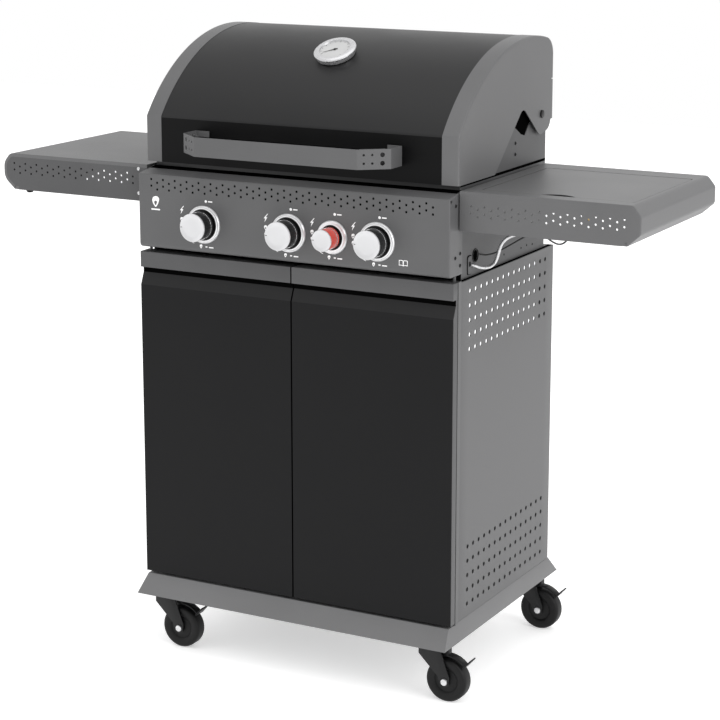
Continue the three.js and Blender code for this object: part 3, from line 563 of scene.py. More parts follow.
def makeCord(node, cord, material):
    line = throughPoints(cord["route"])
    data = bpy.data.curves.new(f"{node}_tube", "CURVE")
    data.dimensions = "3D"
    data.bevel_depth = cord["diameter"] / 2000
    data.bevel_resolution = 3
    data.use_fill_caps = True
    spline = data.splines.new("POLY")
    spline.points.add(len(line) - 1)
    spline.points.foreach_set("co", np.column_stack([toMetres(line), np.ones(len(line))]).ravel())
    data.materials.append(material)
    piece = placed(f"{node}_tube", data)
    bound(piece, "cart", (node,))


makeCord("side_burner_hose", hose, braidedHose)
makeCord("ignition_wire", wire, wireJacket)
print("cords")


# Cabinet.
sidePanel = {
    "sheet": 1.5, "bend": 2.5, "flange": 18, "holeDiameter": 8,
    "columns": np.linspace(37, 346, 15),
    "rows": np.concatenate([np.linspace(600, 699, 5), np.linspace(153.7, 256, 5)]),
}


def makeSidePanel(label, side):
    low, high = span(f"side_panel_{label}")
    outer = reachOf(f"side_panel_{label}")[1]
    inner = outer - sidePanel["flange"]
    path = np.array([(inner, low[1]), (outer, low[1]), (outer, high[1]), (inner, high[1])])
    path = rounded(path, sidePanel["bend"], 4)
    length = distances(path)
    sideStart = length[5] - path[5, 1]
    holes = [circle((sideStart + y, z), sidePanel["holeDiameter"] / 2, 14)
             for y in sidePanel["columns"] for z in sidePanel["rows"]]
    place = lambda a, b, t: alongZ(a * side, b, t)
    shell = foldedShell(path, low[2], high[2], -sidePanel["sheet"], place, holes)
    ledge = plateShell([(inner, low[1] + 2), (outer - 1, low[1] + 2), (outer - 1, high[1] - 2),
                        (inner, high[1] - 2)], high[2] - 1.2, high[2] + 0.2, place)
    lowLedge = moved(ledge, (0, 0, low[2] - high[2] + 1.1))
    newPiece(f"side_panel_{label}_sheet", joined(shell, ledge, lowLedge), greyPowder,
             replaced=(f"side_panel_{label}",))
    # Painted shade: a black strip behind the rear columns of holes makes them read dark.
    behind = rectangle(sidePanel["columns"][-2] - 7, high[1] - 4, low[2] + 6, high[2] - 6)
    strip = plateShell(behind, outer - 4, outer - 3, sideways(side))
    newPiece(f"side_panel_{label}_strip", strip, shadowBlack)


for label, side in bothSides:
    makeSidePanel(label, side)
softened("base_pan", skirtGrey, 0.7)
for node in ("rear_panel", "rail_rear"):
    softened(node, greyPowder, 0.7)
softened("rail_front", blackPowder, 0.5)
print("cabinet")


# Doors.
door = {
    "skin": 1.0, "proud": 0.12, "edge": 0.05, "slopeRun": 9, "slopeRise": 21, "recess": 10,
    "strip": 38.2, "trayDepth": 16.8, "seam": 1.6,
}


# The black front with its sloped top, the slope painted lighter as painted light and the recess
# under the strip painted black as painted shade, and thin layers on the frame: the joint between
# its two trays on the outer side, a black line that is partly seam and partly painted shade, and
# black painted shade on the side that faces the other door.
def makeDoor(label, side):
    body = bodyOf[f"door_frame_{label}"]
    low, high = span(f"door_panel_{label}")
    inner, outer = reachOf(f"door_frame_{label}")
    front, rear = low[1] - 0.1, span(f"door_frame_{label}")[1][1]
    slopeTop, top = high[2], high[2] + door["strip"]
    slopeFoot = slopeTop - door["slopeRise"]
    place = sideways(side)
    corners = np.array([(front, low[2]), (front, slopeFoot), (front + door["slopeRun"], slopeTop),
                        (front + door["slopeRun"], slopeTop + door["recess"])])
    reach = (inner + door["edge"], outer - door["edge"], door["skin"], place)
    # The skin takes the black paint, the slope a lighter copy as painted light, the recess black as
    # painted shade.
    for i, (part, material) in enumerate((("skin", blackPowder), ("slope", litSlopeBlack),
                                          ("recess", shadowBlack))):
        newPiece(f"door_{part}_{label}", foldedShell(corners[i:i + 2], *reach), material,
                 body=body, replaced=() if i else (f"door_panel_{label}",))
    # Painted shade: the frame takes the darker copy of the grey paint.
    softened(f"door_frame_{label}", shadedGrey, 0.6)
    foot, joint = low[2] - 3, front + door["trayDepth"]
    tray, line = (plateShell(rectangle(a, b, foot, top), outer - 0.2, outer + door["proud"], place)
                  for a, b in ((joint + door["seam"], rear - 0.4), (joint, joint + door["seam"])))
    newPiece(f"door_tray_side_{label}", tray, greyPowder, body=body)
    # Painted shade: black on the side that faces the other door; the seam line is partly a real
    # joint and partly painted shade.
    edge = plateShell([(front, low[2]), (rear - 0.5, low[2]), (rear - 0.5, top), (front + 0.3, top),
                       (front + 0.3, slopeTop + door["recess"] + 0.3),
                       (front + door["slopeRun"], slopeTop + door["recess"]),
                       (front + door["slopeRun"], slopeTop), (front, slopeFoot)],
                      inner - door["proud"], inner + 0.2, place)
    newPiece(f"door_seam_and_gap_shade_{label}", joined(line, edge), shadowBlack, body=body)


def screwShell(centre, axis, radius=3.4, height=1.8, sides=18):
    profile = [(0, 0.35 * height), (0.28 * radius, 0.4 * height), (0.34 * radius, height),
               (0.62 * radius, 0.9 * height), (0.9 * radius, 0.5 * height), (radius, 0.1 * height),
               (radius, -0.3 * height), (0, -0.3 * height)]
    return turnedShell(profile, centre, axis, sides)


for label, side in bothSides:
    makeDoor(label, side)
print("doors")


# Control panel.
fascia = {
    "sheet": 1.5, "bend": 8, "edge": 2.5, "columns": 46, "first": -274.2, "pitch": 12.1,
    "even": (853.6, 842.0), "odd": (847.8, 836.2), "holeDiameter": 4.2, "stemHole": 9,
    "endLip": 7, "top": 862.2, "holeShade": (831, 859),
}


# Columns of holes, every second one a little lower.
def staggered(rows):
    for i in range(rows["columns"]):
        for z in rows["odd" if i % 2 else "even"]:
            yield rows["first"] + i * rows["pitch"], z


def makeFascia():
    low, high = span("control_panel")
    front, half, rear = low[1], high[0], high[1]
    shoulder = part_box("control_panel")[1][2] * 1000
    bottom, top = low[2], fascia["top"]
    path = rounded([(rear, bottom), (front, bottom), (front, top), (rear, shoulder)],
                   [0, fascia["bend"], fascia["edge"], 0], 6)
    length = distances(path)
    faceStart = int(np.argmax(path[:, 0] <= front + 1e-6))
    rise = length[faceStart] - path[faceStart, 1]
    holes = [circle((rise + z, x), fascia["holeDiameter"] / 2, 12) for x, z in staggered(fascia)]
    for number in range(1, 5):
        x, _, z = middleOf(f"valve_stem_{number}")
        holes.append(circle((rise + z, x), fascia["stemHole"], 20))
    lip = fascia["endLip"]
    reach = half - lip - seam
    skin = foldedShell(path, -reach, reach, fascia["sheet"], alongX, holes)
    section = hollowSection(rounded([(half - lip, 0), (half, 0), (half, lip)], 1.8, 4),
                            fascia["sheet"])
    ends = []
    for side in (-1, 1):
        place = sideways(side)
        ends.append(sweptShell(path, section, place))
        inner = shifted(path, -lip - seam)
        outline = np.vstack([inner, [(rear, inner[-1, 1]), (rear, inner[0, 1])]])
        ends.append(plateShell(outline, half - fascia["sheet"], half, place))
    newPiece("control_panel_fascia", joined(skin, *ends), greyPowder, replaced=("control_panel",))
    # Painted shade: black plates behind the perforations, across the gap under the panel and along
    # its top rear edge, where only shade lies.
    holeShade = plateShell(rectangle(-reach, reach, *fascia["holeShade"]), front + 0.4, front + 1,
                         alongY)
    gapShade = plateShell(rectangle(1 - half, half - 1, shoulder - 150.8, bottom + 1.4), 1.5, 4,
                         alongY)
    slope = (shoulder - top) / (rear - front)
    topShade = foldedShell([(rear - 16, shoulder - 16 * slope + 0.3), (rear, shoulder + 0.3)], 3 - half,
                       half - 3, 0.2, alongX)
    newPiece("control_panel_shade", joined(holeShade, gapShade, topShade), shadowBlack)


makeFascia()
print("control panel")


# Knobs, bezels and the marks beside them.
dials = {
    "bezelRadius": {"main": 33, "side": 28.5}, "bezelHeight": 4.2, "bezelGap": 2.6,
    "trim": 0.5, "setBack": 2.5,
    "sidePlace": 3, "flutes": 36, "fluteDepth": 0.35, "ringHeight": 2.2,
}
marks = {
    "thick": 0.3, "column": {"main": 44.5, "side": 38.5}, "above": {"main": 40.5, "side": 39},
    "below": {"main": 38.5, "side": 34.5}, "bars": ((9.5, 18), (3, 7), (10, 19)),
    "boltRise": 22, "flames": ((5.5, 8), (-6, 7)), "arc": (197, 46), "arcFlat": 0.86,
    "emblem": (-266, 815), "booklet": (217, 751),
}
forward = (0, -1, 0)


def bezelProfile(outer, inner, height):
    # A rounded outer shoulder, a gently hollow flat and a sharp inner lip.
    return [(outer, -0.2), (outer, height * 0.35), (outer - 0.6, height * 0.68),
            (outer - 1.5, height * 0.88), (outer - 2.6, height * 0.9), (inner + 2.6, height * 0.8),
            (inner + 1.2, height * 0.86), (inner + 0.5, height), (inner, height * 0.94),
            (inner, -0.2)]


def makeKnob(number):
    low, high = span(f"knob_{number}")
    isSide = number == dials["sidePlace"]
    radius = (high[0] - low[0]) / 2 - dials["trim"]
    centre = ((low[0] + high[0]) / 2, 0, (low[2] + high[2]) / 2)
    panelFront = span("control_panel")[0][1]
    rear, front = high[1], low[1] + dials["setBack"]
    at = lambda y: (centre[0], y, centre[2])
    outer = dials["bezelRadius"]["side" if isSide else "main"]
    inner = radius + dials["bezelGap"]
    newPiece(f"knob_bezel_{number}",
             turnedShell(bezelProfile(outer, inner, dials["bezelHeight"]), at(panelFront),
                         forward, 72, ring=True), bezelMetal)
    newPiece(f"knob_recess_{number}",
             turnedShell([(inner + 0.3, 0), (inner + 0.3, 0.8), (9.4, 0.8), (9.4, 0)],
                         at(panelFront), forward, 48, ring=True), blackPlastic)
    depth = rear - front
    bore = 4.4
    skirt = [(bore, 0), (radius - 1.2, 0), (radius - 0.3, 0.8), (radius - 0.3, 3),
             (radius - 0.9, 3.4), (radius - 0.9, depth - 2.6), (bore, depth - 2.6)]
    newPiece(f"knob_skirt_{number}",
             turnedShell(skirt, at(rear), forward, 144, ring=True, flutes=dials["flutes"],
                         fluteDepth=dials["fluteDepth"]),
             redPlastic if isSide else blackPlastic,
             body=f"knob_{number}", replaced=(f"knob_{number}",))
    bandLow, bandHigh = 5.2, 5.2 + dials["ringHeight"]
    band = [(radius - 1.6, bandLow), (radius - 0.45, bandLow), (radius - 0.25, bandLow + 0.4),
            (radius - 0.25, bandHigh - 0.4), (radius - 0.45, bandHigh), (radius - 1.6, bandHigh)]
    newPiece(f"knob_band_{number}", turnedShell(band, at(rear), forward, 64, ring=True),
             chrome, body=f"knob_{number}")
    face = [(0, depth - 3), (radius - 0.9, depth - 3), (radius, depth - 2.6),
            (radius, depth - 0.9), (radius - 0.25, depth - 0.3), (radius - 0.8, depth),
            (radius - 1.6, depth - 0.1), (radius - 2.2, depth - 0.5), (radius * 0.6, depth - 0.75),
            (radius * 0.3, depth - 0.9), (0, depth - 0.95)]
    newPiece(f"knob_face_{number}", turnedShell(face, at(rear), forward, 72), silverSatin,
             body=f"knob_{number}")
    tip = plateShell([(-radius - 0.2, -0.9), (-radius + 4.5, -0.45), (-radius + 4.5, 0.45),
                      (-radius - 0.2, 0.9)], depth - 1.2, depth - 0.2,
                     lambda a, b, t: alongY(a, b, -t))
    newPiece(f"knob_pointer_{number}", moved(tip, at(rear)), blackPlastic,
             body=f"knob_{number}", bevel=0.15)
    return centre, panelFront


def flameLoop(x, z, height):
    # A teardrop with its tip leaning to one side.
    angle = np.linspace(0, 2 * np.pi, 22, endpoint=False)
    wide = height * 0.34 * np.sin(angle) * (1 - 0.45 * np.cos(angle))
    tall = -height * 0.5 * np.cos(angle)
    lean = 0.12 * height * np.clip(tall / height, 0, 1)
    return np.column_stack([x + wide + lean, z + tall])


def markShell(loop, panelFront, holes=()):
    return plateShell(loop, panelFront - marks["thick"], panelFront + 0.2, alongY, holes)


def flameMark(x, z, height, panelFront, drop, hollow):
    return markShell(flameLoop(x, z, height), panelFront, [flameLoop(x, z - drop, hollow)])


def makeMarks(number, centre, panelFront):
    x, _, z = centre
    kind = "side" if number == dials["sidePlace"] else "main"
    column = x - marks["column"][kind]
    high, low = z + marks["above"][kind], z - marks["below"][kind]
    shells = [markShell(circle((x + 5, high), 2.4, 16), panelFront)]
    # Short bars follow the dot and the flame.
    for (a, b), level in zip(marks["bars"], (high, low, low - 0.6)):
        shells.append(markShell(rectangle(x + a, x + b, level - 1, level + 1, 0.6), panelFront))
    bolt = 1.5 * np.array([(2.4, 4.8), (-2.4, -0.6), (-0.2, -0.5), (-1.3, -4.8), (2.4, 0.8),
                           (0.3, 1), (3.4, 4.8)])
    shells.append(markShell(bolt + (column, z + marks["boltRise"]), panelFront))
    shells += [flameMark(column, z + rise, height, panelFront, 1, height * 0.4)
               for rise, height in marks["flames"]]
    shells.append(flameMark(x - 6, low, 7, panelFront, 0.8, 2.2))
    # An arc that narrows from one end to the other.
    f = np.linspace(0, 1, 24)
    angle = (marks["arc"][0] + marks["arc"][1] * f) * deg
    ring = x - column
    outer, inner = ring + 1.6 - 1.2 * f, ring - 1.6 + 1.2 * f
    arc = np.vstack([np.column_stack([outer * np.cos(angle), outer * np.sin(angle)]),
                     np.column_stack([inner * np.cos(angle), inner * np.sin(angle)])[::-1]])
    shells.append(markShell(arc * (1, marks["arcFlat"]) + (x, z), panelFront))
    newPiece(f"knob_marks_{number}", joined(*shells), whitePrint)


for number in range(1, 5):
    makeMarks(number, *makeKnob(number))
    softened(f"valve_stem_{number}", brushedSteel, 0.4)


def makePanelBadges():
    panelFront = span("control_panel")[0][1]
    x, z = marks["emblem"]
    badge = flameMark(x, z, 19, panelFront, 2.6, 8)
    rule = markShell(rectangle(x - 9, x + 9, z - 15, z - 12.6, 0.8), panelFront)
    newPiece("panel_emblem", joined(badge, rule), whitePrint)
    x, z = marks["booklet"]
    page = np.array([(0, 4.2), (2, 5), (5, 5.2), (8, 4.6), (8, -4.4), (5, -3.9), (2, -4.1),
                     (0, -4.9)])
    window = np.array([(0.9, 3.3), (2.4, 3.9), (5, 4.1), (7, 3.6), (7, -3.2), (5, -2.8),
                       (2.4, -3), (0.9, -3.6)])
    pages = [markShell(page * (side, 1) + (x, z), panelFront, [window * (side, 1) + (x, z)])
             for side in (-1, 1)]
    newPiece("booklet_mark", joined(*pages), whitePrint)


makePanelBadges()
print("knobs and marks")


# Cooking parts.
grate = {"bar": 8, "pitch": 24, "bevel": 1.4}


def makeGrate(label):
    low, high = span(f"cooking_grate_{label}")
    width = high[0] - low[0]
    count = round((width - grate["bar"]) / grate["pitch"])
    step = (width - grate["bar"]) / count
    gaps = [rectangle(low[0] + i * step + grate["bar"], low[0] + (i + 1) * step,
                      low[1] + grate["bar"], high[1] - grate["bar"]) for i in range(count)]
    shell = plateShell(rectangle(low[0], high[0], low[1], high[1]), low[2], high[2], alongZ, gaps)
    newPiece(f"cooking_grate_{label}_bars", shell, castIron,
             replaced=(f"cooking_grate_{label}",), bevel=grate["bevel"])


# The side plate, cut away under the lid's notch, in the darker grey copy as painted shade, and
# black painted shade in the gaps round its foot and its other openings.
fireboxSide = {
    "port": 9.5, "portAt": (68, 752.8), "band": (875, 879.6),
    "holes": ((183, 734.5), (254, 734), (278, 735), (302, 733)), "tabAt": (45, 741),
    "cut": ((106, 889), (150, 924), (186, 948), (214, 951), (228, 944), (246, 934), (262, 930)),
}


def makeFireboxSide(label, side):
    node = f"firebox_side_{label}"
    low, high = span(node)
    outer = reachOf(node)[1]
    y, z = middleOf(f"lid_pivot_{label}")[1:]
    crown = high[2] - z
    place = sideways(side)
    tab = arcPoints((y, z), crown, 0, 0.86 * math.pi, 14)
    outline = np.vstack([
        [(low[1], low[2]), (high[1], low[2]), (high[1], z - 25), (y + crown, z - 19)], tab,
        fireboxSide["cut"][::-1], [(low[1], fireboxSide["cut"][0][1] - 6)],
    ])
    port = circle(fireboxSide["portAt"], fireboxSide["port"], 28)
    # The plate takes the darker grey copy, painted shade under the lid.
    newPiece(f"{node}_plate", plateShell(outline, outer - 1.2, outer, place, [port]), shadedGrey,
             replaced=(node,))
    # Painted shade: black on the ledge at the plate's foot, behind the port, in the screw holes,
    # round the tab and its slot, inside the notch, and along a band under the lid.
    foot = plateShell(rectangle(low[1] + 1, high[1] + 26, outer - 2, outer + 4.5),
                      low[2] + 0.1, low[2] + 0.6, lambda a, b, t: alongZ(b * side, a, t))
    py, pz = fireboxSide["portAt"]
    darks = [foot, plateShell(circle((py, pz), fireboxSide["port"] + 1, 28), outer - 3, outer - 2,
                              place)]
    darks += [plateShell(circle(hole, 1.9, 14), outer - 0.1, outer + 0.14, place)
              for hole in fireboxSide["holes"]]
    ty, tz = fireboxSide["tabAt"]
    darks.append(plateShell(rectangle(ty - 8.6, ty + 8.4, tz - 17, tz + 15.8, 5), outer - 0.1,
                            outer + 0.5, place))
    darks.append(plateShell(slotLoop((ty - 0.5, tz + 1), 9, 5, upright=True), outer + 1,
                            outer + 1.6, place))
    notchShade = [(low[1] + 1, low[2] + 1), (high[1] - 1, low[2] + 1), (high[1] - 1, z - 26),
             (y + crown - 1, z - 20), (y + crown - 1, z), (y, high[2] - 1), (222, high[2] - 1),
             (123, 889), (low[1] + 1, 889)]
    darks.append(plateShell(notchShade, outer - 2.4, outer - 1.5, place, [circle((y, z), 6, 20)]))
    darks.append(plateShell(rectangle(low[1], high[1], *fireboxSide["band"]), outer - 0.1,
                            outer + 0.3, place))
    newPiece(f"{node}_painted_shade", joined(*darks), shadowBlack)
    # The tab takes the darker grey copy too, as painted shade.
    tabPlate = plateShell(rectangle(ty - 7, ty + 7, tz - 16, tz + 14.5, 4.5), outer - 0.1,
                          outer + 1.4, place)
    rim = turnedShell([(fireboxSide["port"], 0), (fireboxSide["port"] + 0.6, 0.9),
                       (fireboxSide["port"] + 2, 1.1), (fireboxSide["port"] + 2.6, 0)],
                      (side * outer, py, pz), (side, 0, 0), 40, ring=True)
    newPiece(f"{node}_tab", tabPlate, shadedGrey, bevel=0.2)
    newPiece(f"{node}_grommet", rim, tyreRubber)


for node in ("gas_manifold", "burner_1", "burner_2", "burner_3"):
    softened(node, brushedSteel, 0.5)
for number in (1, 2, 3):
    softened(f"flame_tamer_{number}", brushedSteel, 0.4)
softened("firebox", enamel, 0.6)
for label, side in bothSides:
    makeGrate(label)
    makeFireboxSide(label, side)
softened("warming_rack", brushedSteel, 1.2)
softened("grease_tray", brushedSteel, 0.5)
print("cooking parts")


# Lid.
lidShape = {
    "sheet": 1.5, "bandHeight": 80, "radius": 354, "crestSetback": 282, "rearFillet": 32,
    "bandRound": 7, "sink": 0.5, "capWidth": 31, "capRound": 3.2, "capLip": 8,
    "slotLift": 140, "slotEdge": 5.5, "rearLift": 50.7,
}


def lidLine(steps=54):
    low, high = span("lid_shell")
    front, bottom, rear = low[1], low[2], high[1]
    bandTop = bottom + lidShape["bandHeight"]
    crest = front + lidShape["crestSetback"]
    middle = bandTop - math.sqrt(lidShape["radius"] ** 2 - lidShape["crestSetback"] ** 2)
    cornerY = rear - lidShape["rearFillet"]
    inner = lidShape["radius"] - lidShape["rearFillet"]
    cornerZ = middle + math.sqrt(inner ** 2 - (cornerY - crest) ** 2)
    start = math.atan2(bandTop - middle, -lidShape["crestSetback"])
    end = math.atan2(cornerZ - middle, cornerY - crest)
    dome = arcPoints((crest, middle), lidShape["radius"], start, end, steps)
    back = arcPoints((cornerY, cornerZ), lidShape["rearFillet"], end, 0, 10)[1:]
    head = rounded([(front, bottom), dome[0], dome[3]], [0, lidShape["bandRound"], 0], 6)[:-1]
    return np.vstack([head, dome[3:], back]), (front, bottom, rear, crest, middle)


lidPath, (lidFront, lidBottom, lidRear, crestY, arcZ) = lidLine()
rearBottom = lidBottom + lidShape["rearLift"]


def makeLidShell():
    half = span("lid_shell")[1][0]
    path = shifted(np.vstack([lidPath, [(lidRear, rearBottom)]]), -lidShape["sink"])
    thick = lidShape["sheet"]
    section = [(-half, 0), (half, 0), (half, thick), (-half, thick)]
    hem = plateShell(rectangle(-half, half, lidFront + 2, lidFront + 14), lidBottom,
                     lidBottom + thick, alongZ)
    newPiece("lid_dome", sweptShell(path[1:], section, alongX), lidPowder,
             body="lid", replaced=("lid_shell",))
    # Painted shade: the upright front band and its hem take the darker black copy.
    newPiece("lid_band", joined(sweptShell(path[:2], section, alongX), hem), shadedBandBlack, body="lid")


def capOutline(inset):
    # Below the rounded rim the plate follows the lid's line, then its foot and the notch.
    foot, notchY = 25, 239
    footZ, footY = rearBottom + foot - 5, lidRear - foot - 16
    upper = shifted(np.vstack([lidPath, [(lidRear, rearBottom + 18)]]), -inset)
    lower = np.vstack([
        arcPoints((lidRear - foot - inset, footZ + 4), foot, 0, -math.pi / 2, 10)[1:],
        arcPoints((footY - 8, footZ), foot, -math.pi / 2, -0.75 * math.pi, 6),
        rounded([(footY - 26, footZ - 18), (notchY, lidBottom + 101), (127, lidBottom),
                 (126, lidBottom)], [0, 16, 8, 0], 8)[1:-1],
    ])
    return np.vstack([upper, lower])


def makeLidCap(label, side):
    half = reachOf(f"lid_end_cap_{label}")[1]
    thick, lip, edge = lidShape["sheet"], lidShape["capLip"], lidShape["capRound"]
    place = sideways(side)
    slotTop = lidBottom + lidShape["slotLift"]
    low = [(lidRear, slotTop - 2), (lidRear, rearBottom + 18)]
    wide = np.vstack([lidPath, [(lidRear, slotTop)]])

    def edgeSection(inner):
        return hollowSection(rounded([(inner, 0), (half, 0), (half, lip)], edge, 6), thick)

    wideRim = sweptShell(wide, edgeSection(half - lidShape["capWidth"]), place)
    slimRim = sweptShell(np.array(low), edgeSection(half - lidShape["slotEdge"]), place)
    pivot = middleOf(f"lid_pivot_{label}")[1:]
    plate = plateShell(capOutline(lip + seam), half - thick, half, place, [circle(pivot, 4.6, 20)])
    newPiece(f"lid_cap_{label}", joined(wideRim, slimRim, plate), shelfGrey,
             body="lid", replaced=(f"lid_end_cap_{label}",))
    softened(f"lid_pivot_{label}", darkSteel, 0.8, 3)


makeLidShell()
for label, side in bothSides:
    makeLidCap(label, side)
print("lid")


# Lid handle.
handle = {
    "length": 399, "bar": 311.4, "reach": 76, "wingReach": 40.5, "thick": 15, "foot": 27,
    "sheet": 1.5, "bend": 3.5, "holes": ((0.2, 2.0), (0.45, 2.0), (0.75, 3.9)), "rows": (0.3, 0.72),
}


def makeHandle():
    low, high = span("lid_handle")
    half, bar = handle["length"] / 2, handle["bar"] / 2
    root = lidFront - 0.3
    wingY, barY = lidFront - handle["wingReach"], lidFront - handle["reach"]
    foot = half - handle["foot"]
    corners = [(-foot, root), (-half, root), (-half, wingY), (-bar, barY), (bar, barY),
               (half, wingY), (half, root), (foot, root)]
    path = rounded(corners, [0, 2, *[handle["bend"]] * 4, 2, 0], 6)
    length = distances(path)
    height = high[2] - low[2]
    wing = math.hypot(half - bar, handle["reach"] - handle["wingReach"])
    holes = []
    for side in (-1, 1):
        bend = np.argmin(np.linalg.norm(path - (side * bar, barY), axis=1))
        for share, radius in handle["holes"]:
            s = length[bend] + side * share * wing
            holes += [circle((s, low[2] + row * height), radius, 16) for row in handle["rows"]]
    outer = foldedShell(path, low[2], high[2], -handle["sheet"], alongZ, holes)
    loop = shifted(np.array(corners), handle["thick"] - handle["sheet"])[2:6]
    innerWall = foldedShell(rounded(loop, 2, 4), low[2], high[2] - 1.5, -handle["sheet"], alongZ)
    floor = plateShell(np.vstack([np.array(corners)[2:6] + (0, 0.6),
                                  shifted(np.array(corners), handle["thick"] - 0.6)[2:6][::-1]]),
                       low[2], low[2] + handle["sheet"], alongZ)
    newPiece("lid_handle_channel", joined(outer, innerWall, floor), greyPowder,
             body="lid", replaced=("lid_handle",))
    # Painted shade: a black strip down in the top of the channel.
    channelShade = plateShell(rectangle(1 - bar, bar - 1, barY + 1.6, barY + handle["thick"] - 1.6),
                        high[2] - 0.8, high[2] - 0.3, alongZ)
    newPiece("lid_handle_channel_shade", channelShade, shadowBlack, body="lid")
    screws = [screwShell((side * (half - 15), root - handle["sheet"], low[2] + 0.5 * height),
                         forward, 4.2, 2.2) for side in (-1, 1)]
    newPiece("lid_handle_screws", joined(*screws), zincSteel, body="lid")


makeHandle()
print("handle")


# Thermometer.
gauge = {"height": 14, "rim": 10, "recess": 3.2, "setback": 132.5, "ticks": 13,
         "aside": 3, "tip": 3, "needle": 212}


# A flat shape turned about the origin.
def turned(points, angle):
    c, s = math.cos(angle), math.sin(angle)
    return np.array(points) @ [(c, s), (-s, c)]


def makeGauge():
    angle = math.acos((lidFront + gauge["setback"] - crestY) / lidShape["radius"])
    normal = np.array([0, math.cos(angle), math.sin(angle)])
    foot = np.array([gauge["aside"], crestY, arcZ]) + normal * lidShape["radius"]
    angle += gauge["tip"] * deg
    normal = np.array([0, math.cos(angle), math.sin(angle)])
    radius = (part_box("thermometer")[1][0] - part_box("thermometer")[0][0]) * 500
    h = gauge["height"]
    profile = [(4, -30), (4, 0.3), (radius - 7, 0.3), (radius - 3.4, 1.2), (radius - 2.6, 3),
               (radius - 2.2, h - 6), (radius - 0.4, h - 4.6), (radius, h - 3.6),
               (radius - 0.3, h - 2.4), (radius - 1.6, h - 1.3), (radius - gauge["rim"] + 1.2, h),
               (radius - gauge["rim"], h - 0.3), (radius - gauge["rim"] - 0.6, h - gauge["recess"]),
               (3.9, h - gauge["recess"])]
    newPiece("thermometer_case", turnedShell(profile, foot, normal, 96, ring=True), gaugeMetal,
             body="lid", replaced=("thermometer",))
    inner = radius - gauge["rim"] - 0.5
    face = turnedShell([(0, h - gauge["recess"] + 0.5), (inner, h - gauge["recess"] + 0.5),
                        (inner, h - gauge["recess"] - 0.6), (0, h - gauge["recess"] - 0.6)],
                       foot, normal, 72)
    newPiece("thermometer_face", face, dialWhite, body="lid")
    across = np.array([1.0, 0, 0])
    upward = np.cross(normal, across)
    level = h - gauge["recess"] + 0.5
    place = lambda a, b, t: (foot + a[..., None] * across + b[..., None] * upward
                             + np.asarray(t)[..., None] * normal)
    ticks = []
    for f in np.linspace(-1, 1, gauge["ticks"]):
        near = inner - (5.0 if round(f * 6) % 3 == 0 else 3.4)
        bar = [(near, 0.35), (near, -0.35), (inner - 1.5, -0.35), (inner - 1.5, 0.35)]
        ticks.append(plateShell(turned(bar, (90 - 130 * f) * deg), level - 0.1, level + 0.12,
                                place))
    needle = plateShell(turned([(-5, 1.1), (-5, -1.1), (inner - 5, 0)], gauge["needle"] * deg),
                        level + 0.5, level + 1.0, place)
    hub = turnedShell([(0, level - 0.1), (2.2, level - 0.1), (2.2, level + 1.3),
                       (1.4, level + 1.6), (0, level + 1.7)], foot, normal, 24)
    newPiece("thermometer_scale", joined(*ticks, needle, hub), blackPlastic, body="lid")


makeGauge()
print("thermometer")


# Shelves.
shelfShape = {
    "sheet": 1.5, "edge": 1.8, "lip": 6, "holeDiameter": 3.8,
    "left": {"nose": (15, 24, 24), "first": -592.0, "pitch": 12.3, "columns": 22,
             "even": (855.0, 843.2), "odd": (849.4, 837.6)},
    "right": {"nose": (9, 9, 9), "first": 323.6, "pitch": 12.0, "columns": 23,
              "even": (849.6, 837.6), "odd": (844.6, 832.8)},
}


def makeShelf(label, side):
    low, high = span(f"{label}_shelf")
    y0, y1, top, bottom = low[1], high[1], high[2], low[2]
    inner, outer = reachOf(f"{label}_shelf")
    thick, lip = shelfShape["sheet"], shelfShape["lip"]
    line = rounded([(inner, top), (outer - 14, top), (outer, top - 17),
                    (outer, bottom + 19.8), (outer - 22.5, bottom), (outer - 32, bottom)],
                   [0, *shelfShape[label]["nose"], 3, 0], 8)
    place = lambda a, b, t: alongY(a * side, b, t)
    holes = []
    if side > 0:
        lidLow, lidHigh = span("side_burner_lid")
        holes.append(rectangle(lidLow[0] - 2 - inner, lidHigh[0] + 0.8 - inner,
                               lidLow[1] - 0.8, lidHigh[1] + 2.4, 3))
    shells = [foldedShell(line, y0 + lip + seam, y1 - lip - seam, thick, place, holes)]
    for edge, way in ((y0, 1), (y1, -1)):
        corner = rounded([(edge, lip), (edge, 0), (edge + way * lip, 0)], shelfShape["edge"], 5)
        shells.append(sweptShell(line, hollowSection(corner, thick * way), place))
    drop = shifted(line, -lip - seam)
    apron = np.vstack([drop, [(outer - 32, bottom), (inner, bottom)]])
    perforations = [circle((abs(x), z), shelfShape["holeDiameter"] / 2, 12)
                    for x, z in staggered(shelfShape[label])]
    # The left shelf's front takes the darker grey copy, painted shade; the right one keeps the
    # shelf grey.
    newPiece(f"{label}_shelf_apron", plateShell(apron, y0 + thick, y0, place, perforations),
             shelfGrey if side > 0 else shadedGrey)
    shells.append(plateShell(apron, y1 - thick, y1, place))
    endWall = np.array([(y0 + 2, bottom), (50, bottom), (50, bottom + 40), (230, bottom + 40),
                        (230, bottom), (y1 - 2, bottom), (y1 - 2, top - 1), (y0 + 2, top - 1)])
    shells.append(plateShell(endWall, inner, inner + thick, sideways(side)))
    newPiece(f"{label}_shelf_sheet", joined(*shells), shelfGrey, replaced=(f"{label}_shelf",))


for label, side in bothSides:
    makeShelf(label, side)
print("shelves")


# Side burner.
burnerLid = {"corner": 5, "scoopRadius": 40, "scoopOffset": 26}


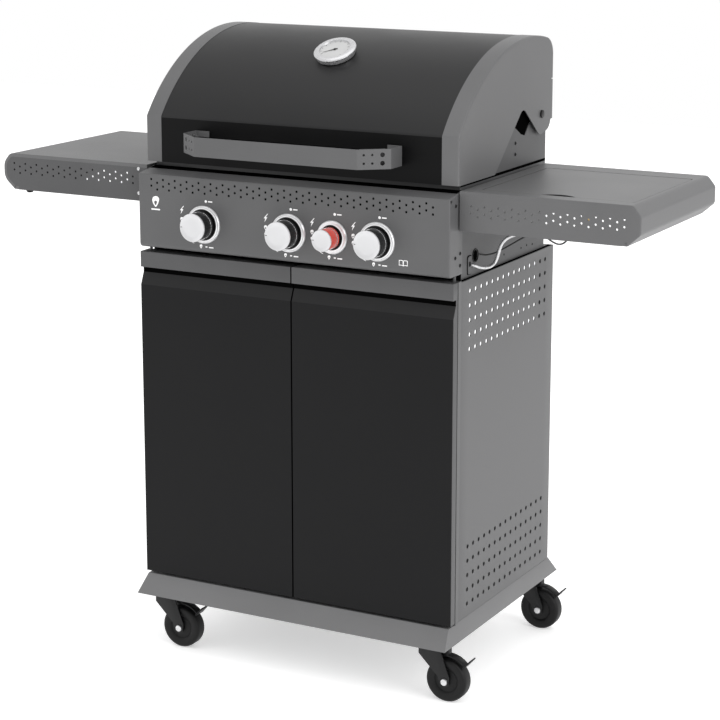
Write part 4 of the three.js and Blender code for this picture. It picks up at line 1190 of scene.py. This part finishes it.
def makeBurnerLid():
    low, high = span("side_burner_lid")
    middle = (low[0] + high[0]) / 2
    loop = rectangle(low[0], high[0], low[1], high[1], burnerLid["corner"])
    reach = math.acos(burnerLid["scoopOffset"] / burnerLid["scoopRadius"])
    scoop = arcPoints((middle, low[1] - burnerLid["scoopOffset"]), burnerLid["scoopRadius"],
                      math.pi / 2 + reach, math.pi / 2 - reach, 18)
    edge = np.argmax(np.diff(loop[:, 0]) * (np.abs(loop[1:, 1] - low[1]) < 1e-6))
    outline = np.vstack([loop[:edge + 1], scoop, loop[edge + 1:]])
    thick = high[2] - low[2]
    plate = plateShell(outline, high[2] - thick, high[2], alongZ)
    newPiece("side_burner_cover", plate, shelfGrey, body="burner_lid",
             replaced=("side_burner_lid",), bevel=0.5)


makeBurnerLid()
softened("side_burner_bowl", enamel, 0.6)
softened("side_burner_head", brass, 0.8)
softened("side_burner_trivet", castIron, 1.0)
print("side burner")


# Casters.
casterShape = {"shoulder": 6, "capRadius": 6.2, "hubRadius": 22}


def makeCaster(place):
    wheelLow, wheelHigh = span(f"caster_wheel_{place}")
    centre = (wheelLow + wheelHigh) / 2
    radius = (wheelHigh[2] - wheelLow[2]) / 2
    half = (wheelHigh[1] - wheelLow[1]) / 2
    s = casterShape["shoulder"]
    turn = np.linspace(0, math.pi / 2, 6)
    front = np.column_stack([radius - s + s * np.sin(turn), -half + s - s * np.cos(turn)])
    hub = casterShape["hubRadius"]
    rim = [(4.4, -half + 3), (7, -half + 3), (8, -half + 1.5), (hub - 2, -half + 3.4),
           (hub, -half + 1.2), (hub + 1.6, -half + 0.3)]
    profile = np.vstack([rim, front])
    profile = np.vstack([profile, profile[::-1] * (1, -1)])
    newPiece(f"caster_tyre_{place}", turnedShell(profile, centre, (0, 1, 0), 64, ring=True),
             tyreRubber, body=f"wheel_{place}", replaced=(f"caster_wheel_{place}",))
    softened(f"caster_fork_{place}", blackPlastic, 1.4, 3)
    forkLow, forkHigh = span(f"caster_fork_{place}")
    cap = [(0, 2.6), (casterShape["capRadius"] - 2, 2.5), (casterShape["capRadius"] - 0.6, 1.9),
           (casterShape["capRadius"], 0.6), (casterShape["capRadius"], -1.6), (0, -1.6)]
    caps = [turnedShell(cap, (centre[0], y, centre[2]), (0, way, 0), 28)
            for y, way in ((forkLow[1] + 1, -1), (forkHigh[1] - 1, 1))]
    newPiece(f"caster_axle_caps_{place}", joined(*caps), zincSteel, body=f"fork_{place}")
    softened(f"caster_brake_{place}", darkSteel, 0.5)


for place in ("front_left", "front_right", "rear_left", "rear_right"):
    makeCaster(place)
print("casters")


# Screws and small fittings.
fittings = {
    "bodyScrew": (3.2, 1.6), "shelfScrew": (3.4, 1.6), "panelEnd": ((-20, 763), (-20, 849),
                                                                  (-2, 748), (-2, 768)),
    "fireboxSide": ((224, 902), (224, 921)), "shelfHeights": (821, 864), "shelfInset": 18,
    "holeShades": ((-306, -137), (-38, -3)), "holeShadeHeights": (828, 862), "nub": (-582, 20),
}


def makeFittings():
    screws = []
    for side in (-1, 1):
        for node, places in (("control_panel", "panelEnd"), ("firebox_side_right", "fireboxSide")):
            x = side * span(node)[1][0]
            screws += [screwShell((x, y, z), (side, 0, 0), *fittings["bodyScrew"])
                       for y, z in fittings[places]]
    newPiece("body_screws", joined(*screws), darkSteel)
    low, high = span("left_shelf")
    inner, front = high[0], low[1]
    bright = [screwShell((inner - fittings["shelfInset"], front, z), forward,
                         *fittings["shelfScrew"]) for z in fittings["shelfHeights"]]
    newPiece("shelf_screws", joined(*bright), zincSteel)
    # Painted shade: black plates behind the left shelf's front perforations.
    holeShades = [plateShell(rectangle(inner + a, inner + b, *fittings["holeShadeHeights"]),
                         front + 1.8, front + 2.3, alongY) for a, b in fittings["holeShades"]]
    newPiece("shelf_hole_shade", joined(*holeShades), shadowBlack)
    nub = turnedShell([(0, -9), (5, -9), (6.5, -7), (7, 0), (0, 0)],
                      (*fittings["nub"], low[2]), (0, 0, 1), 28)
    newPiece("shelf_rubber_nub", nub, tyreRubber)


makeFittings()
print("fittings")


# Floor.
def makeFloor():
    half = room["floorSize"] / 2
    mesh = bpy.data.meshes.new("floor")
    mesh.from_pydata([(-half, -half, 0), (half, -half, 0), (half, half, 0), (-half, half, 0)],
                     [], [(0, 1, 2, 3)])
    finish = newMaterial("paleFloor", room["floorColor"], 0.7, spread=0.01, mottle=2,
                         grain=60, bump=0.02, specular=0.2)
    shader = finish.node_tree.nodes["Principled BSDF"]
    shader.inputs["Emission Color"].default_value = (1, 1, 1, 1)
    shader.inputs["Emission Strength"].default_value = room["floorGlow"]
    mesh.materials.append(finish)
    placed("floor", mesh)


makeFloor()
